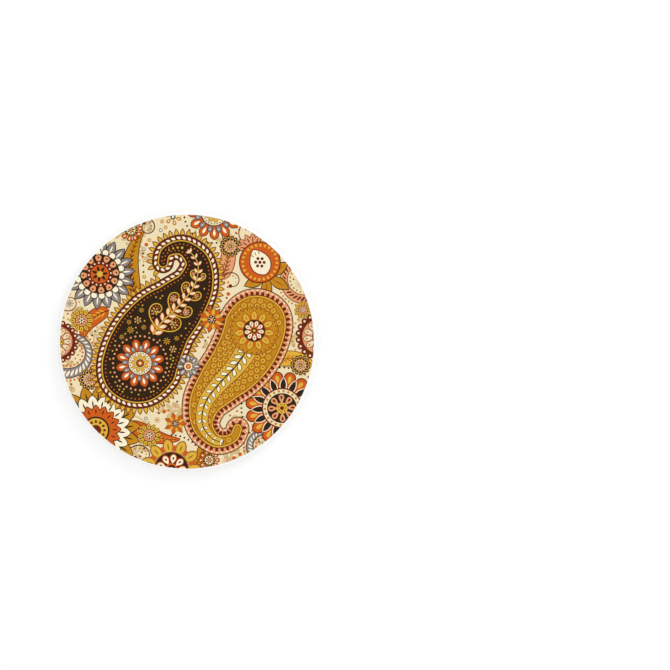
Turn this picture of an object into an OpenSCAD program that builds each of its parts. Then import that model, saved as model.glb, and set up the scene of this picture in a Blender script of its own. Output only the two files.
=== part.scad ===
// Round drink coaster: a pressed ceramic disc with a white coating over its face,
// shoulder and side, a printed layer on the face, and a cork pad that a film of
// adhesive holds to the underside. Sizes are in millimetres. The origin is the centre
// of the cork's resting face, and +Z points up through the printed face.

/* [Ceramic disc] */
// Outside diameter of the finished disc, over the coating
disc_d = 100; // [80:0.5:125]
// Thickness of the bare ceramic
ceramic_t = 5.5; // [4:0.1:9]
// Radius of the finished shoulder round the top face
shoulder_r = 1.2; // [0.6:0.1:2]
// Radius of the edge round the ceramic's underside
heel_r = 0.7; // [0.3:0.1:1.2]

/* [White coating] */
// Thickness of the coating
coating_t = 0.15; // [0.08:0.01:0.4]
// Height of bare ceramic left between the underside and the coating's lower edge
coating_stop = 1.5; // [1.2:0.1:1.9]

/* [Printed layer] */
// Thickness of the printed layer
print_t = 0.1; // [0.04:0.01:0.2]
// White margin between the print's edge and the start of the shoulder
print_margin = 0.05; // [0.05:0.05:6]

/* [Cork pad] */
// Thickness of the cork
cork_t = 1.6; // [1:0.1:4]
// Width of the bare ring of ceramic that shows round the cork
cork_ring = 4.5; // [2:0.1:12]
// Bevel that the cutting die leaves round the cork's resting face
cork_bevel = 0.2; // [0.1:0.05:0.5]

/* [Adhesive] */
// Thickness of the film between cork and ceramic
adhesive_t = 0.15; // [0.05:0.01:0.4]
// Distance that the film stops short of the cork's edge
adhesive_setback = 0.6; // [0.2:0.1:4]

/* [Hidden] */

// Colours of the finished pieces
CERAMIC_CREAM = "#FBF3E7";
COATING_WHITE = "#FCFCFA";
PRINT_OCHRE = "#AA8150";
FILM_AMBER = "#E9DFC4";
CORK_TAN = "#D19360";

$fn = 180;
// Facets of a small arc in a profile
ARC_FN = 48;
// How far the waste of a corner reaches past the outline that it is cut from
cut_over = 1;

// Sizes that follow from the ones above
ceramic_d = disc_d - 2 * coating_t;
ceramic_shoulder_r = shoulder_r - coating_t;
print_d = disc_d - 2 * (shoulder_r + print_margin);
cork_d = disc_d - 2 * cork_ring;
adhesive_d = cork_d - 2 * adhesive_setback;

// Heights of the faces, from the table up
adhesive_z = cork_t;
ceramic_z = adhesive_z + adhesive_t;
coating_top_z = ceramic_z + ceramic_t + coating_t;
print_top_z = coating_top_z + print_t;

echo(total_height = print_top_z, print_d = print_d, cork_d = cork_d, ceramic_d = ceramic_d);

// What a rounding of radius r takes off a square corner at the origin, the square
// lying in the quadrant where x and y are negative
module corner_waste(r) {
    translate([-r, -r])
        difference() {
            square([r + cut_over, r + cut_over]);
            circle(r, $fn = ARC_FN);
        }
}

// What a bevel of width b takes off the same corner
module bevel_waste(b) {
    polygon([[-b, cut_over], [-b, 0], [0, -b], [cut_over, -b], [cut_over, cut_over]]);
}

// Half section of a disc of diameter d and thickness t that stands on y = 0, with its
// top edge rounded to r_top
module disc_section(d, t, r_top) {
    difference() {
        square([d / 2, t]);
        translate([d / 2, t]) corner_waste(r_top);
    }
}

// Half section of the bare ceramic, with its heel rounded too
module ceramic_section() {
    difference() {
        disc_section(ceramic_d, ceramic_t, ceramic_shoulder_r);
        translate([ceramic_d / 2, 0]) mirror([0, 1]) corner_waste(heel_r);
    }
}

// Half section of the coating: the finished outline less the bare ceramic's, kept
// above the height where the coating stops
module coating_section() {
    skirt_h = ceramic_t - coating_stop + coating_t;
    translate([0, coating_stop])
        difference() {
            disc_section(disc_d, skirt_h, shoulder_r);
            disc_section(ceramic_d, skirt_h - coating_t, ceramic_shoulder_r);
        }
}

// The pressed ceramic disc, which gives the coaster its weight and stiffness
module ceramic_disc() {
    color(CERAMIC_CREAM)
        translate([0, 0, ceramic_z])
            rotate_extrude()
                ceramic_section();
}

// The white coating, which wraps the face, the shoulder and most of the side
module white_coating() {
    color(COATING_WHITE)
        translate([0, 0, ceramic_z])
            rotate_extrude()
                coating_section();
}

// The printed layer, which covers the flat of the face up to the shoulder
module printed_layer() {
    color(PRINT_OCHRE)
        translate([0, 0, coating_top_z])
            cylinder(d = print_d, h = print_t);
}

// The film of adhesive, hidden between the cork and the ceramic
module adhesive_film() {
    color(FILM_AMBER)
        translate([0, 0, adhesive_z])
            cylinder(d = adhesive_d, h = adhesive_t);
}

// The die-cut cork pad, with a bevel round the face that rests on the table
module cork_pad() {
    color(CORK_TAN)
        rotate_extrude()
            difference() {
                square([cork_d / 2, cork_t]);
                translate([cork_d / 2, 0]) mirror([0, 1]) bevel_waste(cork_bevel);
            }
}

ceramic_disc();
white_coating();
printed_layer();
adhesive_film();
cork_pad();
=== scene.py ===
"""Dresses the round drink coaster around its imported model.

The coaster is a pressed ceramic disc with a white coating, a printed face and a cork pad. The print
is an all-over pattern of traditional curled drops, rosettes, fruits and tendrils, laid out here in
millimetres as flat inks, one over another, and merged into one thin sheet.
"""

import logging
import math
from dataclasses import dataclass, field, replace
from enum import Enum
from functools import cached_property
from typing import Any

import bpy
import numpy as np
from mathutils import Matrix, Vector
from mathutils.geometry import delaunay_2d_cdt


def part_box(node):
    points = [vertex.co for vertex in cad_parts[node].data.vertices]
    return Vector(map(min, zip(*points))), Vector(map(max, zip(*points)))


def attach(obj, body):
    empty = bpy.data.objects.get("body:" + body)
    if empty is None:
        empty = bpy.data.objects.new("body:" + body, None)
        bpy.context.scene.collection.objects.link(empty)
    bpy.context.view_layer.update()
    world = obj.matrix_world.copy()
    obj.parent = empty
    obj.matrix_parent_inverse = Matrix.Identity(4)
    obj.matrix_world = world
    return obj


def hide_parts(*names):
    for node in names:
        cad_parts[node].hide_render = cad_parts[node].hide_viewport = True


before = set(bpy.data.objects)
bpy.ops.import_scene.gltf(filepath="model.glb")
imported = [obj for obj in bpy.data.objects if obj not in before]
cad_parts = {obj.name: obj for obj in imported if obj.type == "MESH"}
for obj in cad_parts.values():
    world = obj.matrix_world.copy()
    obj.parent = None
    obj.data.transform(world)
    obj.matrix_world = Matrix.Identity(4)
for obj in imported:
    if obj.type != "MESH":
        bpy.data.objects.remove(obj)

bpy.context.view_layer.update()
BODY = "root"
MM = 0.001
FULL_TURN = 2 * math.pi
DISC_POINTS = (9, 96)
DISC_POINTS_PER_MM = 7
CURL_POINTS = 24
CURL_POINTS_PER_MM = 2

log = logging.getLogger("coaster")
Colour = tuple[float, float, float, float]
Outline = np.ndarray
Petal = tuple[float, float, float, float, float]
Point = tuple[float, float] | np.ndarray
Corners = list[tuple[float, float, float]]
Socket = bpy.types.NodeSocket
Sockets = tuple[Socket, ...]


@dataclass(frozen=True)
class Layer:
    """Where a CAD node lies, in millimetres: its radius, its underside and its top."""

    radius: float
    low: float
    high: float

    @classmethod
    def of(cls, node: str) -> "Layer":
        """Reads a node's place from its imported mesh, with the radius that stays inside its box.

        Args:
            node: the node's name.

        Returns:
            Its layer.
        """
        low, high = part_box(node)
        reach = min(high[0], high[1], -low[0], -low[1])
        return cls(reach / MM, low[2] / MM, high[2] / MM)


def linear(level: int) -> float:
    """Turns one sRGB level from 0 to 255 into linear light."""
    share = level / 255
    return share / 12.92 if share <= 0.04045 else ((share + 0.055) / 1.055) ** 2.4


def rgb(red: int, green: int, blue: int) -> Colour:
    """Returns the linear colour of three sRGB levels from 0 to 255, with full alpha."""
    return (linear(red), linear(green), linear(blue), 1.0)


class Ink(Enum):
    """The inks of the print, each with its colour as red, green and blue from 0 to 255."""

    CREAM = (240, 223, 182)
    IVORY = (252, 240, 208)
    TAN = (213, 186, 133)
    OCHRE = (198, 134, 22)
    MUSTARD = (224, 176, 58)
    ORANGE = (206, 92, 22)
    SALMON = (232, 157, 108)
    MAROON = (110, 35, 6)
    BROWN = (142, 78, 22)
    BARK = (46, 29, 10)
    GREY = (143, 131, 127)

    def colour(self) -> Colour:
        """Returns the ink's linear colour."""
        return rgb(*self.value)


CREAM, IVORY, TAN, OCHRE, MUSTARD, ORANGE, SALMON, MAROON, BROWN, BARK, GREY = Ink


def put(name: str, data: Any) -> bpy.types.Object:
    """Adds an object to the scene.

    Args:
        name: its name.
        data: its mesh, lamp or camera.

    Returns:
        The object.
    """
    made = bpy.data.objects.new(name, data)
    bpy.context.scene.collection.objects.link(made)
    return made


class Tree:
    """A node tree under construction, for a shape or for a finish."""

    def __init__(self, nodes: bpy.types.NodeTree) -> None:
        """Wraps an empty node tree."""
        self.nodes = nodes

    @classmethod
    def of(cls, owner: bpy.types.Material | bpy.types.World) -> "Tree":
        """Empties the node tree of a new material or world.

        Args:
            owner: the material or world.

        Returns:
            Its tree.
        """
        owner.use_nodes = True
        owner.node_tree.nodes.clear()
        return cls(owner.node_tree)

    def add(self, kind: str, inputs: dict[Any, Any] | None = None, **settings: Any) -> bpy.types.Node:
        """Adds one node and feeds it.

        Args:
            kind: the node's type.
            inputs: what each input takes, by its name or place: a value or another node's output.
            settings: the node's own properties.

        Returns:
            The new node.
        """
        made = self.nodes.nodes.new(kind)
        for name, value in settings.items():
            setattr(made, name, value)
        for key, value in (inputs or {}).items():
            if isinstance(value, Socket):
                self.nodes.links.new(value, made.inputs[key])
            else:
                made.inputs[key].default_value = value
        return made

    def out(self, kind: str, *inputs: dict[Any, Any], **settings: Any) -> Socket:
        """Adds one node and returns its first output."""
        return self.add(kind, *inputs, **settings).outputs[0]

    def surface(self, inputs: dict[str, Any]) -> None:
        """Ends a finish with a shader that takes these inputs."""
        self.add("ShaderNodeOutputMaterial", {"Surface": self.out("ShaderNodeBsdfPrincipled", inputs)})

    @cached_property
    def place(self) -> Socket:
        """The object coordinates."""
        return self.add("ShaderNodeTexCoord").outputs["Object"]

    def math(self, operation: str, *values: Socket | float) -> Socket:
        """Adds a math node on these values and returns its result."""
        return self.out("ShaderNodeMath", dict(enumerate(values)), operation=operation)

    def times(self, *values: Socket | float) -> Socket:
        """Returns one value times another."""
        return self.math("MULTIPLY", *values)

    def split(self, vector: Socket) -> Sockets:
        """Returns a vector's X, Y and Z."""
        return tuple(self.add("ShaderNodeSeparateXYZ", {0: vector}).outputs)

    def join(self, *parts: Socket | float) -> Socket:
        """Returns the vector of an X, a Y and a Z, or of an X and a Y at Z 0."""
        return self.out("ShaderNodeCombineXYZ", dict(enumerate(parts)))

    def spread(
        self, value: Socket, low: float, high: float, to_low: float = 0.0, to_high: float = 1.0
    ) -> Socket:
        """Maps a value from low..high to to_low..to_high, held at the ends, and returns the result."""
        inputs = {0: value, 1: low, 2: high, 3: to_low, 4: to_high}
        return self.out("ShaderNodeMapRange", inputs)

    def noise(self, vector: Socket, size: float, detail: float = 2.0, roughness: float = 0.5) -> Socket:
        """Returns a noise from 0 to 1, whose features have this size in millimetres."""
        inputs = {"Vector": vector, "Scale": 1 / (size * MM), "Detail": detail, "Roughness": roughness}
        return self.out("ShaderNodeTexNoise", inputs)

    def cells(self, vector: Socket, size: float, feature: str = "F1") -> Sockets:
        """Returns the distance and, for F1, the colour of cells of this size in millimetres."""
        inputs = {"Vector": vector, "Scale": 1 / (size * MM)}
        return tuple(self.add("ShaderNodeTexVoronoi", inputs, feature=feature).outputs)

    def lots(self, cells: Sockets) -> Sockets:
        """Returns three numbers from 0 to 1 that each cell has drawn."""
        return tuple(self.add("ShaderNodeSeparateColor", {0: cells[1]}).outputs)

    def mix(self, factor: Socket | float, low: Any, high: Any, blend: str = "MIX") -> Socket:
        """Returns two colours mixed, where the factor is the share of the second."""
        inputs = {0: factor, 6: low, 7: high}
        return self.add("ShaderNodeMix", inputs, data_type="RGBA", blend_type=blend).outputs[2]

    def shade(self, colour: Any, value: Socket, low: float, high: float) -> Socket:
        """Multiplies a colour by a grey that follows a value.

        Args:
            colour: the colour, a value or an output.
            value: from 0 to 1, mostly near the middle.
            low: the grey where the value is low.
            high: the grey where it is high.

        Returns:
            The shaded colour.
        """
        grey = self.spread(value, 0.25, 0.75, low, high)
        tint = self.out("ShaderNodeCombineColor", {0: grey, 1: grey, 2: grey})
        return self.mix(1.0, colour, tint, "MULTIPLY")

    def bump(self, height: Socket, depth: float) -> Socket:
        """Returns the normal over a relief of this depth in millimetres."""
        inputs = {"Height": height, "Distance": depth * MM, "Strength": 1.0}
        return self.out("ShaderNodeBump", inputs)


class ShapeTree(Tree):
    """A Geometry Nodes tree with named inputs, run on a mesh and turned into a plain mesh."""

    KINDS = {int: "NodeSocketInt", float: "NodeSocketFloat"}

    def __init__(self, name: str, sizes: dict[str, type]) -> None:
        """Starts the tree.

        Args:
            name: the tree's name.
            sizes: the named inputs, each with its type.
        """
        super().__init__(bpy.data.node_groups.new(name, "GeometryNodeTree"))
        face = self.nodes.interface
        face.new_socket("Geometry", in_out="INPUT", socket_type="NodeSocketGeometry")
        self.identifiers = {}
        for key, kind in sizes.items():
            socket = face.new_socket(key, in_out="INPUT", socket_type=self.KINDS[kind])
            self.identifiers[key] = socket.identifier
        face.new_socket("Geometry", in_out="OUTPUT", socket_type="NodeSocketGeometry")
        self.inputs = self.add("NodeGroupInput").outputs

    def own(self, kind: str) -> Socket:
        """Returns each point's own Position, Normal, Tangent or Index."""
        return self.out(f"GeometryNodeInput{kind}")

    def weight(self, name: str) -> Socket:
        """Returns each point's weight of this name."""
        return self.out("GeometryNodeInputNamedAttribute", {0: name}, data_type="FLOAT")

    def scaled(self, vector: Socket, factor: Socket) -> Socket:
        """Returns a vector times a number."""
        return self.out("ShaderNodeVectorMath", {0: vector, "Scale": factor}, operation="SCALE")

    def move(self, geometry: Socket, **places: Socket) -> Socket:
        """Puts each point at a Position or moves it by an Offset, and returns the geometry."""
        return self.out("GeometryNodeSetPosition", {"Geometry": geometry, **places})

    def sink(self, geometry: Socket, depth: Socket) -> Socket:
        """Moves each point inwards by a depth and returns the geometry."""
        inward = self.scaled(self.own("Normal"), self.times(depth, -1.0))
        return self.move(geometry, Offset=inward)

    def end(self, geometry: Socket, material: bpy.types.Material) -> None:
        """Ends the tree: instances become real, and the result takes its material.

        Args:
            geometry: the result.
            material: its material.
        """
        real = self.out("GeometryNodeRealizeInstances", {0: geometry})
        dressed = self.out("GeometryNodeSetMaterial", {"Geometry": real, "Material": material})
        self.add("NodeGroupOutput", {0: dressed})

    def run(self, mesh: bpy.types.Mesh, sizes: dict[str, float]) -> bpy.types.Mesh:
        """Runs the tree on a mesh.

        Args:
            mesh: what the tree starts from, removed afterwards.
            sizes: a value for each named input.

        Returns:
            The result as a new plain mesh.
        """
        carrier = put(mesh.name, mesh)
        modifier = carrier.modifiers.new(self.nodes.name, "NODES")
        modifier.node_group = self.nodes
        for key, value in sizes.items():
            modifier[self.identifiers[key]] = value
        evaluated = carrier.evaluated_get(bpy.context.evaluated_depsgraph_get())
        result = bpy.data.meshes.new_from_object(evaluated)
        carrier.modifiers.remove(modifier)
        bpy.data.objects.remove(carrier)
        bpy.data.meshes.remove(mesh)
        return result


def line_mesh(corners: Corners, closed: bool = False) -> bpy.types.Mesh:
    """Makes a line a mesh of edges.

    Args:
        corners: the line's points.
        closed: whether its last point joins its first.

    Returns:
        The mesh.
    """
    mesh = bpy.data.meshes.new("line")
    count = len(corners)
    edges = [(i, (i + 1) % count) for i in range(count if closed else count - 1)]
    mesh.from_pydata(corners, edges, [])
    return mesh


class PetalTree(ShapeTree):
    """A tree that repeats one petal, whose outline follows a formula.

    Along the petal the share runs from 0 at its base to 1 at its tip, and the width follows
    share^base * (1 - share)^tip times a round outline, so base thins the foot and tip the point.
    """

    PETAL = {"Points": int, "Start": float, "Length": float, "Half width": float, "Base": float, "Tip": float}
    POINTS_PER_MM = 2.6
    FEWEST_POINTS = 8
    MOST_POINTS = 40

    def __init__(self, name: str, sizes: dict[str, type]) -> None:
        """Starts the tree with the petal's own inputs and the given ones."""
        super().__init__(name, {**self.PETAL, **sizes})

    def petal(self) -> Socket:
        """Adds the petal, which points along X.

        Returns:
            Its geometry.
        """
        sizes = self.inputs
        inputs = {"Vertices": sizes["Points"], "Radius": 1.0}
        circle = self.out("GeometryNodeMeshCircle", inputs, fill_type="NGON")
        x, y, _ = self.split(self.own("Position"))
        share = self.times(self.math("ADD", x, 1.0), 0.5)
        foot = self.math("POWER", share, sizes["Base"])
        point = self.math("POWER", self.math("SUBTRACT", 1.0, share), sizes["Tip"])
        width = self.times(self.times(foot, point), sizes["Half width"])
        along = self.math("MULTIPLY_ADD", share, sizes["Length"], sizes["Start"])
        return self.move(circle, Position=self.join(along, self.times(y, width)))

    def instances(self, points: Socket, angle: Socket, scale: Socket | float = 1.0) -> Socket:
        """Puts a petal on each point.

        Args:
            points: the geometry to put them on.
            angle: the way that each one points, in radians.
            scale: its size.

        Returns:
            The instances.
        """
        turn = self.out("FunctionNodeEulerToRotation", {0: self.join(0.0, 0.0, angle)})
        size = self.join(scale, scale, 1.0)
        inputs = {"Points": points, "Instance": self.petal(), "Rotation": turn, "Scale": size}
        return self.out("GeometryNodeInstanceOnPoints", inputs)

    def outlines(self, mesh: bpy.types.Mesh, petal: Petal, place: dict[str, float]) -> list[Outline]:
        """Runs the tree and reads its petals.

        Args:
            mesh: what the tree starts from, removed afterwards.
            petal: the petal's start, length, width, base and tip. It is round where the width is 0.
            place: a value for each input that isn't the petal's own.

        Returns:
            The petals' outlines in order, each of which starts at its tip.
        """
        start, length, width, base, tip = petal
        needed = 6 + (length + width) * self.POINTS_PER_MM
        points = int(np.clip(needed, self.FEWEST_POINTS, self.MOST_POINTS)) // 2 * 2
        widest = (base + 0.5) / (base + tip + 1)
        half = (width or length) / 2 / (2 * widest ** (base + 0.5) * (1 - widest) ** (tip + 0.5))
        form = dict(zip(self.PETAL, (points, start, length, half, base, tip)))
        result = self.run(mesh, {**form, **place})
        corners = np.empty(len(result.vertices) * 3)
        result.vertices.foreach_get("co", corners)
        bpy.data.meshes.remove(result)
        return list(corners.reshape(-1, points, 3)[:, :, :2])


class RingTree(PetalTree):
    """Petals round a centre."""

    def __init__(self, material: bpy.types.Material) -> None:
        """Wires the tree.

        Args:
            material: what its shapes take.
        """
        super().__init__("petal_ring", {"Count": int, "Turn": float, "Step": float})
        points = self.out("GeometryNodePoints", {"Count": self.inputs["Count"]})
        angle = self.math("MULTIPLY_ADD", self.own("Index"), self.inputs["Step"], self.inputs["Turn"])
        self.end(self.instances(points, angle), material)


class TrailTree(PetalTree):
    """Petals along a path, set off to its right, leaning from its course, and scaled towards its end."""

    PLACE = {"Spacing": float, "Ends": int, "Offset": float, "Lean": float, "End scale": float}
    MOST_POINTS = 32

    def __init__(self, material: bpy.types.Material) -> None:
        """Wires the tree.

        Args:
            material: what its shapes take.
        """
        super().__init__("petal_trail", self.PLACE)
        sizes = self.inputs
        curve = self.out("GeometryNodeMeshToCurve", {0: sizes["Geometry"]})
        length = self.out("GeometryNodeCurveLength", {0: curve})
        steps = self.math("ROUND", self.math("DIVIDE", length, sizes["Spacing"]))
        count = self.math("ADD", steps, sizes["Ends"])
        even = self.out("GeometryNodeResampleCurve", {"Curve": curve, "Count": count})
        x, y, _ = self.split(self.own("Tangent"))
        right = self.join(y, self.times(x, -1.0))
        moved = self.move(even, Offset=self.scaled(right, sizes["Offset"]))
        angle = self.math("ADD", self.math("ARCTAN2", y, x), sizes["Lean"])
        along = self.add("GeometryNodeSplineParameter").outputs["Factor"]
        scale = self.math("MULTIPLY_ADD", along, self.math("SUBTRACT", sizes["End scale"], 1.0), 1.0)
        self.end(self.instances(moved, angle, scale), material)


def distances(path: Outline) -> np.ndarray:
    """Returns how far along a path each of its points lies."""
    return np.concatenate([[0], np.cumsum(np.hypot(*np.diff(path, axis=0).T))])


def read_at(places: np.ndarray, run: np.ndarray, values: Outline) -> Outline:
    """Reads points or directions, given at the distances run along a path, at other places on it."""
    return np.column_stack([np.interp(places, run, values[:, axis]) for axis in (0, 1)])


def evenly(line: Outline, closed: bool = False) -> Outline:
    """Spaces a line's points evenly along it.

    Args:
        line: the line.
        closed: whether it joins up.

    Returns:
        As many points.
    """
    ends = np.vstack([line, line[:1]]) if closed else line
    run = distances(ends)
    places = np.linspace(0, run[-1], len(line) + closed)[: len(line)]
    return read_at(places, run, ends)


def smooth(knots: tuple[Point, ...], steps: int = 14) -> Outline:
    """Runs a smooth line through a few points.

    Args:
        knots: the points, in order.
        steps: points on the line from one knot to the next.

    Returns:
        The line's points, evenly spaced.
    """
    points = np.array(knots, float)
    points = np.vstack([2 * points[0] - points[1], points, 2 * points[-1] - points[-2]])
    share = (np.arange(steps) / steps)[:, None]
    parts = []
    for before, start, end, after in zip(points, points[1:], points[2:], points[3:]):
        bend = 2 * before - 5 * start + 4 * end - after
        twist = 3 * (start - end) + after - before
        parts.append(start + 0.5 * share * (end - before + share * (bend + share * twist)))
    return evenly(np.vstack([*parts, points[-2:-1]]))


def curl(start: Point, course: float, length: float, turn: float, tighten: float) -> Outline:
    """Draws a curl that tightens towards its end.

    Args:
        start: its first point.
        course: the way it sets out, in degrees from +X.
        length: its length.
        turn: how far it turns in all, in degrees, to the left where positive.
        tighten: 1 for an even bend, more for one that comes late.

    Returns:
        The curl's points.
    """
    share = np.linspace(0, 1, max(CURL_POINTS, int(length * CURL_POINTS_PER_MM)))
    way = np.radians(course + turn * share**tighten)
    step = length / (len(share) - 1)
    run = np.column_stack([np.cos(way), np.sin(way)]) * step
    return np.array(start) + np.vstack([[0, 0], np.cumsum(run[:-1], axis=0)])


def trim(path: Outline, first: float, last: float = 1.0) -> Outline:
    """Keeps the part of a path between two shares of its length."""
    count = len(path) - 1
    return path[int(round(first * count)) : int(round(last * count)) + 1]


def heading(path: Outline, share: float) -> tuple[Point, float]:
    """Tells where a path is at a share of its length and where it points.

    Args:
        path: the path.
        share: from 0 at its start to 1 at its end.

    Returns:
        The point and the path's course there, in degrees.
    """
    place = int(np.clip(share * (len(path) - 1), 1, len(path) - 2))
    course = path[place + 1] - path[place - 1]
    return path[place], math.degrees(math.atan2(course[1], course[0]))


def normals(path: Outline, closed: bool = False) -> Outline:
    """Finds the unit vector to the right of a path at each of its points.

    Args:
        path: the path.
        closed: whether it joins up.

    Returns:
        The vectors.
    """
    if closed:
        course = np.roll(path, -1, 0) - np.roll(path, 1, 0)
    else:
        course = np.gradient(path, axis=0)
    course = course / np.maximum(np.hypot(*course.T), 1e-9)[:, None]
    return np.column_stack([course[:, 1], -course[:, 0]])


def sweep(path: Outline, half: np.ndarray) -> Outline:
    """Returns the outline of a shape that runs along a path, with a half width at each point."""
    out = normals(path) * half[:, None]
    return np.vstack([path + out, (path - out)[::-1]])


def disc(centre: Point, radius: float, points: int = 0) -> Outline:
    """Draws a circle.

    Args:
        centre: its centre.
        radius: its radius.
        points: how many points it has, or 0 for as many as its size needs.

    Returns:
        Its outline.
    """
    count = points or int(np.clip(DISC_POINTS[0] - 1 + radius * DISC_POINTS_PER_MM, *DISC_POINTS))
    angle = np.linspace(0, FULL_TURN, count, endpoint=False)
    return np.array(centre) + radius * np.column_stack([np.cos(angle), np.sin(angle)])


def leftward(outline: Outline) -> Outline:
    """Returns an outline that runs counterclockwise."""
    x, y = outline.T
    return outline if np.sum(x * np.roll(y, -1) - y * np.roll(x, -1)) > 0 else outline[::-1]


def grow(outline: Outline, distance: float) -> Outline:
    """Moves an outline outwards and drops the points that fold over others.

    Args:
        outline: the outline.
        distance: how far, or how far inwards where it is negative.

    Returns:
        The moved outline.
    """
    around = leftward(outline)
    moved = around + normals(around, True) * distance
    step = np.roll(around, -1, 0) - around
    gap = moved[:, None] - around[None]
    share = np.clip((gap * step).sum(2) / np.maximum((step * step).sum(1), 1e-12), 0, 1)
    nearest = np.linalg.norm(gap - share[..., None] * step, axis=2).min(1)
    fold = 0.97
    return moved[nearest > abs(distance) * fold]


def edged(outline: Outline, distance: float) -> Outline:
    """Returns a line round an outline at a distance from it, with evenly spaced points."""
    return evenly(grow(outline, distance), True)


def inside(points: Outline, outline: Outline) -> np.ndarray:
    """Tells which points lie inside an outline.

    Args:
        points: the points.
        outline: the outline.

    Returns:
        True for each point inside.
    """
    x, y = points[:, 0][:, None], points[:, 1][:, None]
    x1, y1 = outline.T
    x2, y2 = np.roll(outline, -1, 0).T
    crosses = (y1 > y) != (y2 > y)
    with np.errstate(divide="ignore", invalid="ignore"):
        left = x < x1 + (y - y1) / (y2 - y1) * (x2 - x1)
    return (crosses & left).sum(1) % 2 == 1


@dataclass(frozen=True)
class Row:
    """A row of petals round a centre, or a disc where the count is 0.

    Its start, end and width are in millimetres, or in a rosette's rows shares of its radius. Base
    thins a petal's foot and tip sharpens its point, both from 0 for round. A turn is a share of the
    step from one petal to the next.
    """

    ink: Ink
    start: float
    end: float
    width: float = 0.0
    count: int = 0
    base: float = 0.0
    tip: float = 0.0
    turn: float = 0.0

    def scaled(self, radius: float) -> "Row":
        """Returns a row in shares of this radius as one in millimetres."""
        start, end, width = (share * radius for share in (self.start, self.end, self.width))
        return replace(self, start=start, end=end, width=width)


def lined(line: Ink, row: Row, edge: float) -> tuple[Row, Row]:
    """Returns a row with a line of another ink round its petals, as the wider row and the row on it."""
    start, end, width = row.start - edge, row.end + edge, row.width + 2 * edge
    return replace(row, ink=line, start=start, end=end, width=width), row


def plate(ink: Ink, end: float) -> Row:
    """Returns a plain disc as a row."""
    return Row(ink, 0.0, end)


def beads(ink: Ink, middle: float, size: float, count: int, turn: float = 0.0) -> Row:
    """Returns a row of round beads round the centre."""
    return Row(ink, middle - size / 2, middle + size / 2, size, count, turn=turn)


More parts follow.
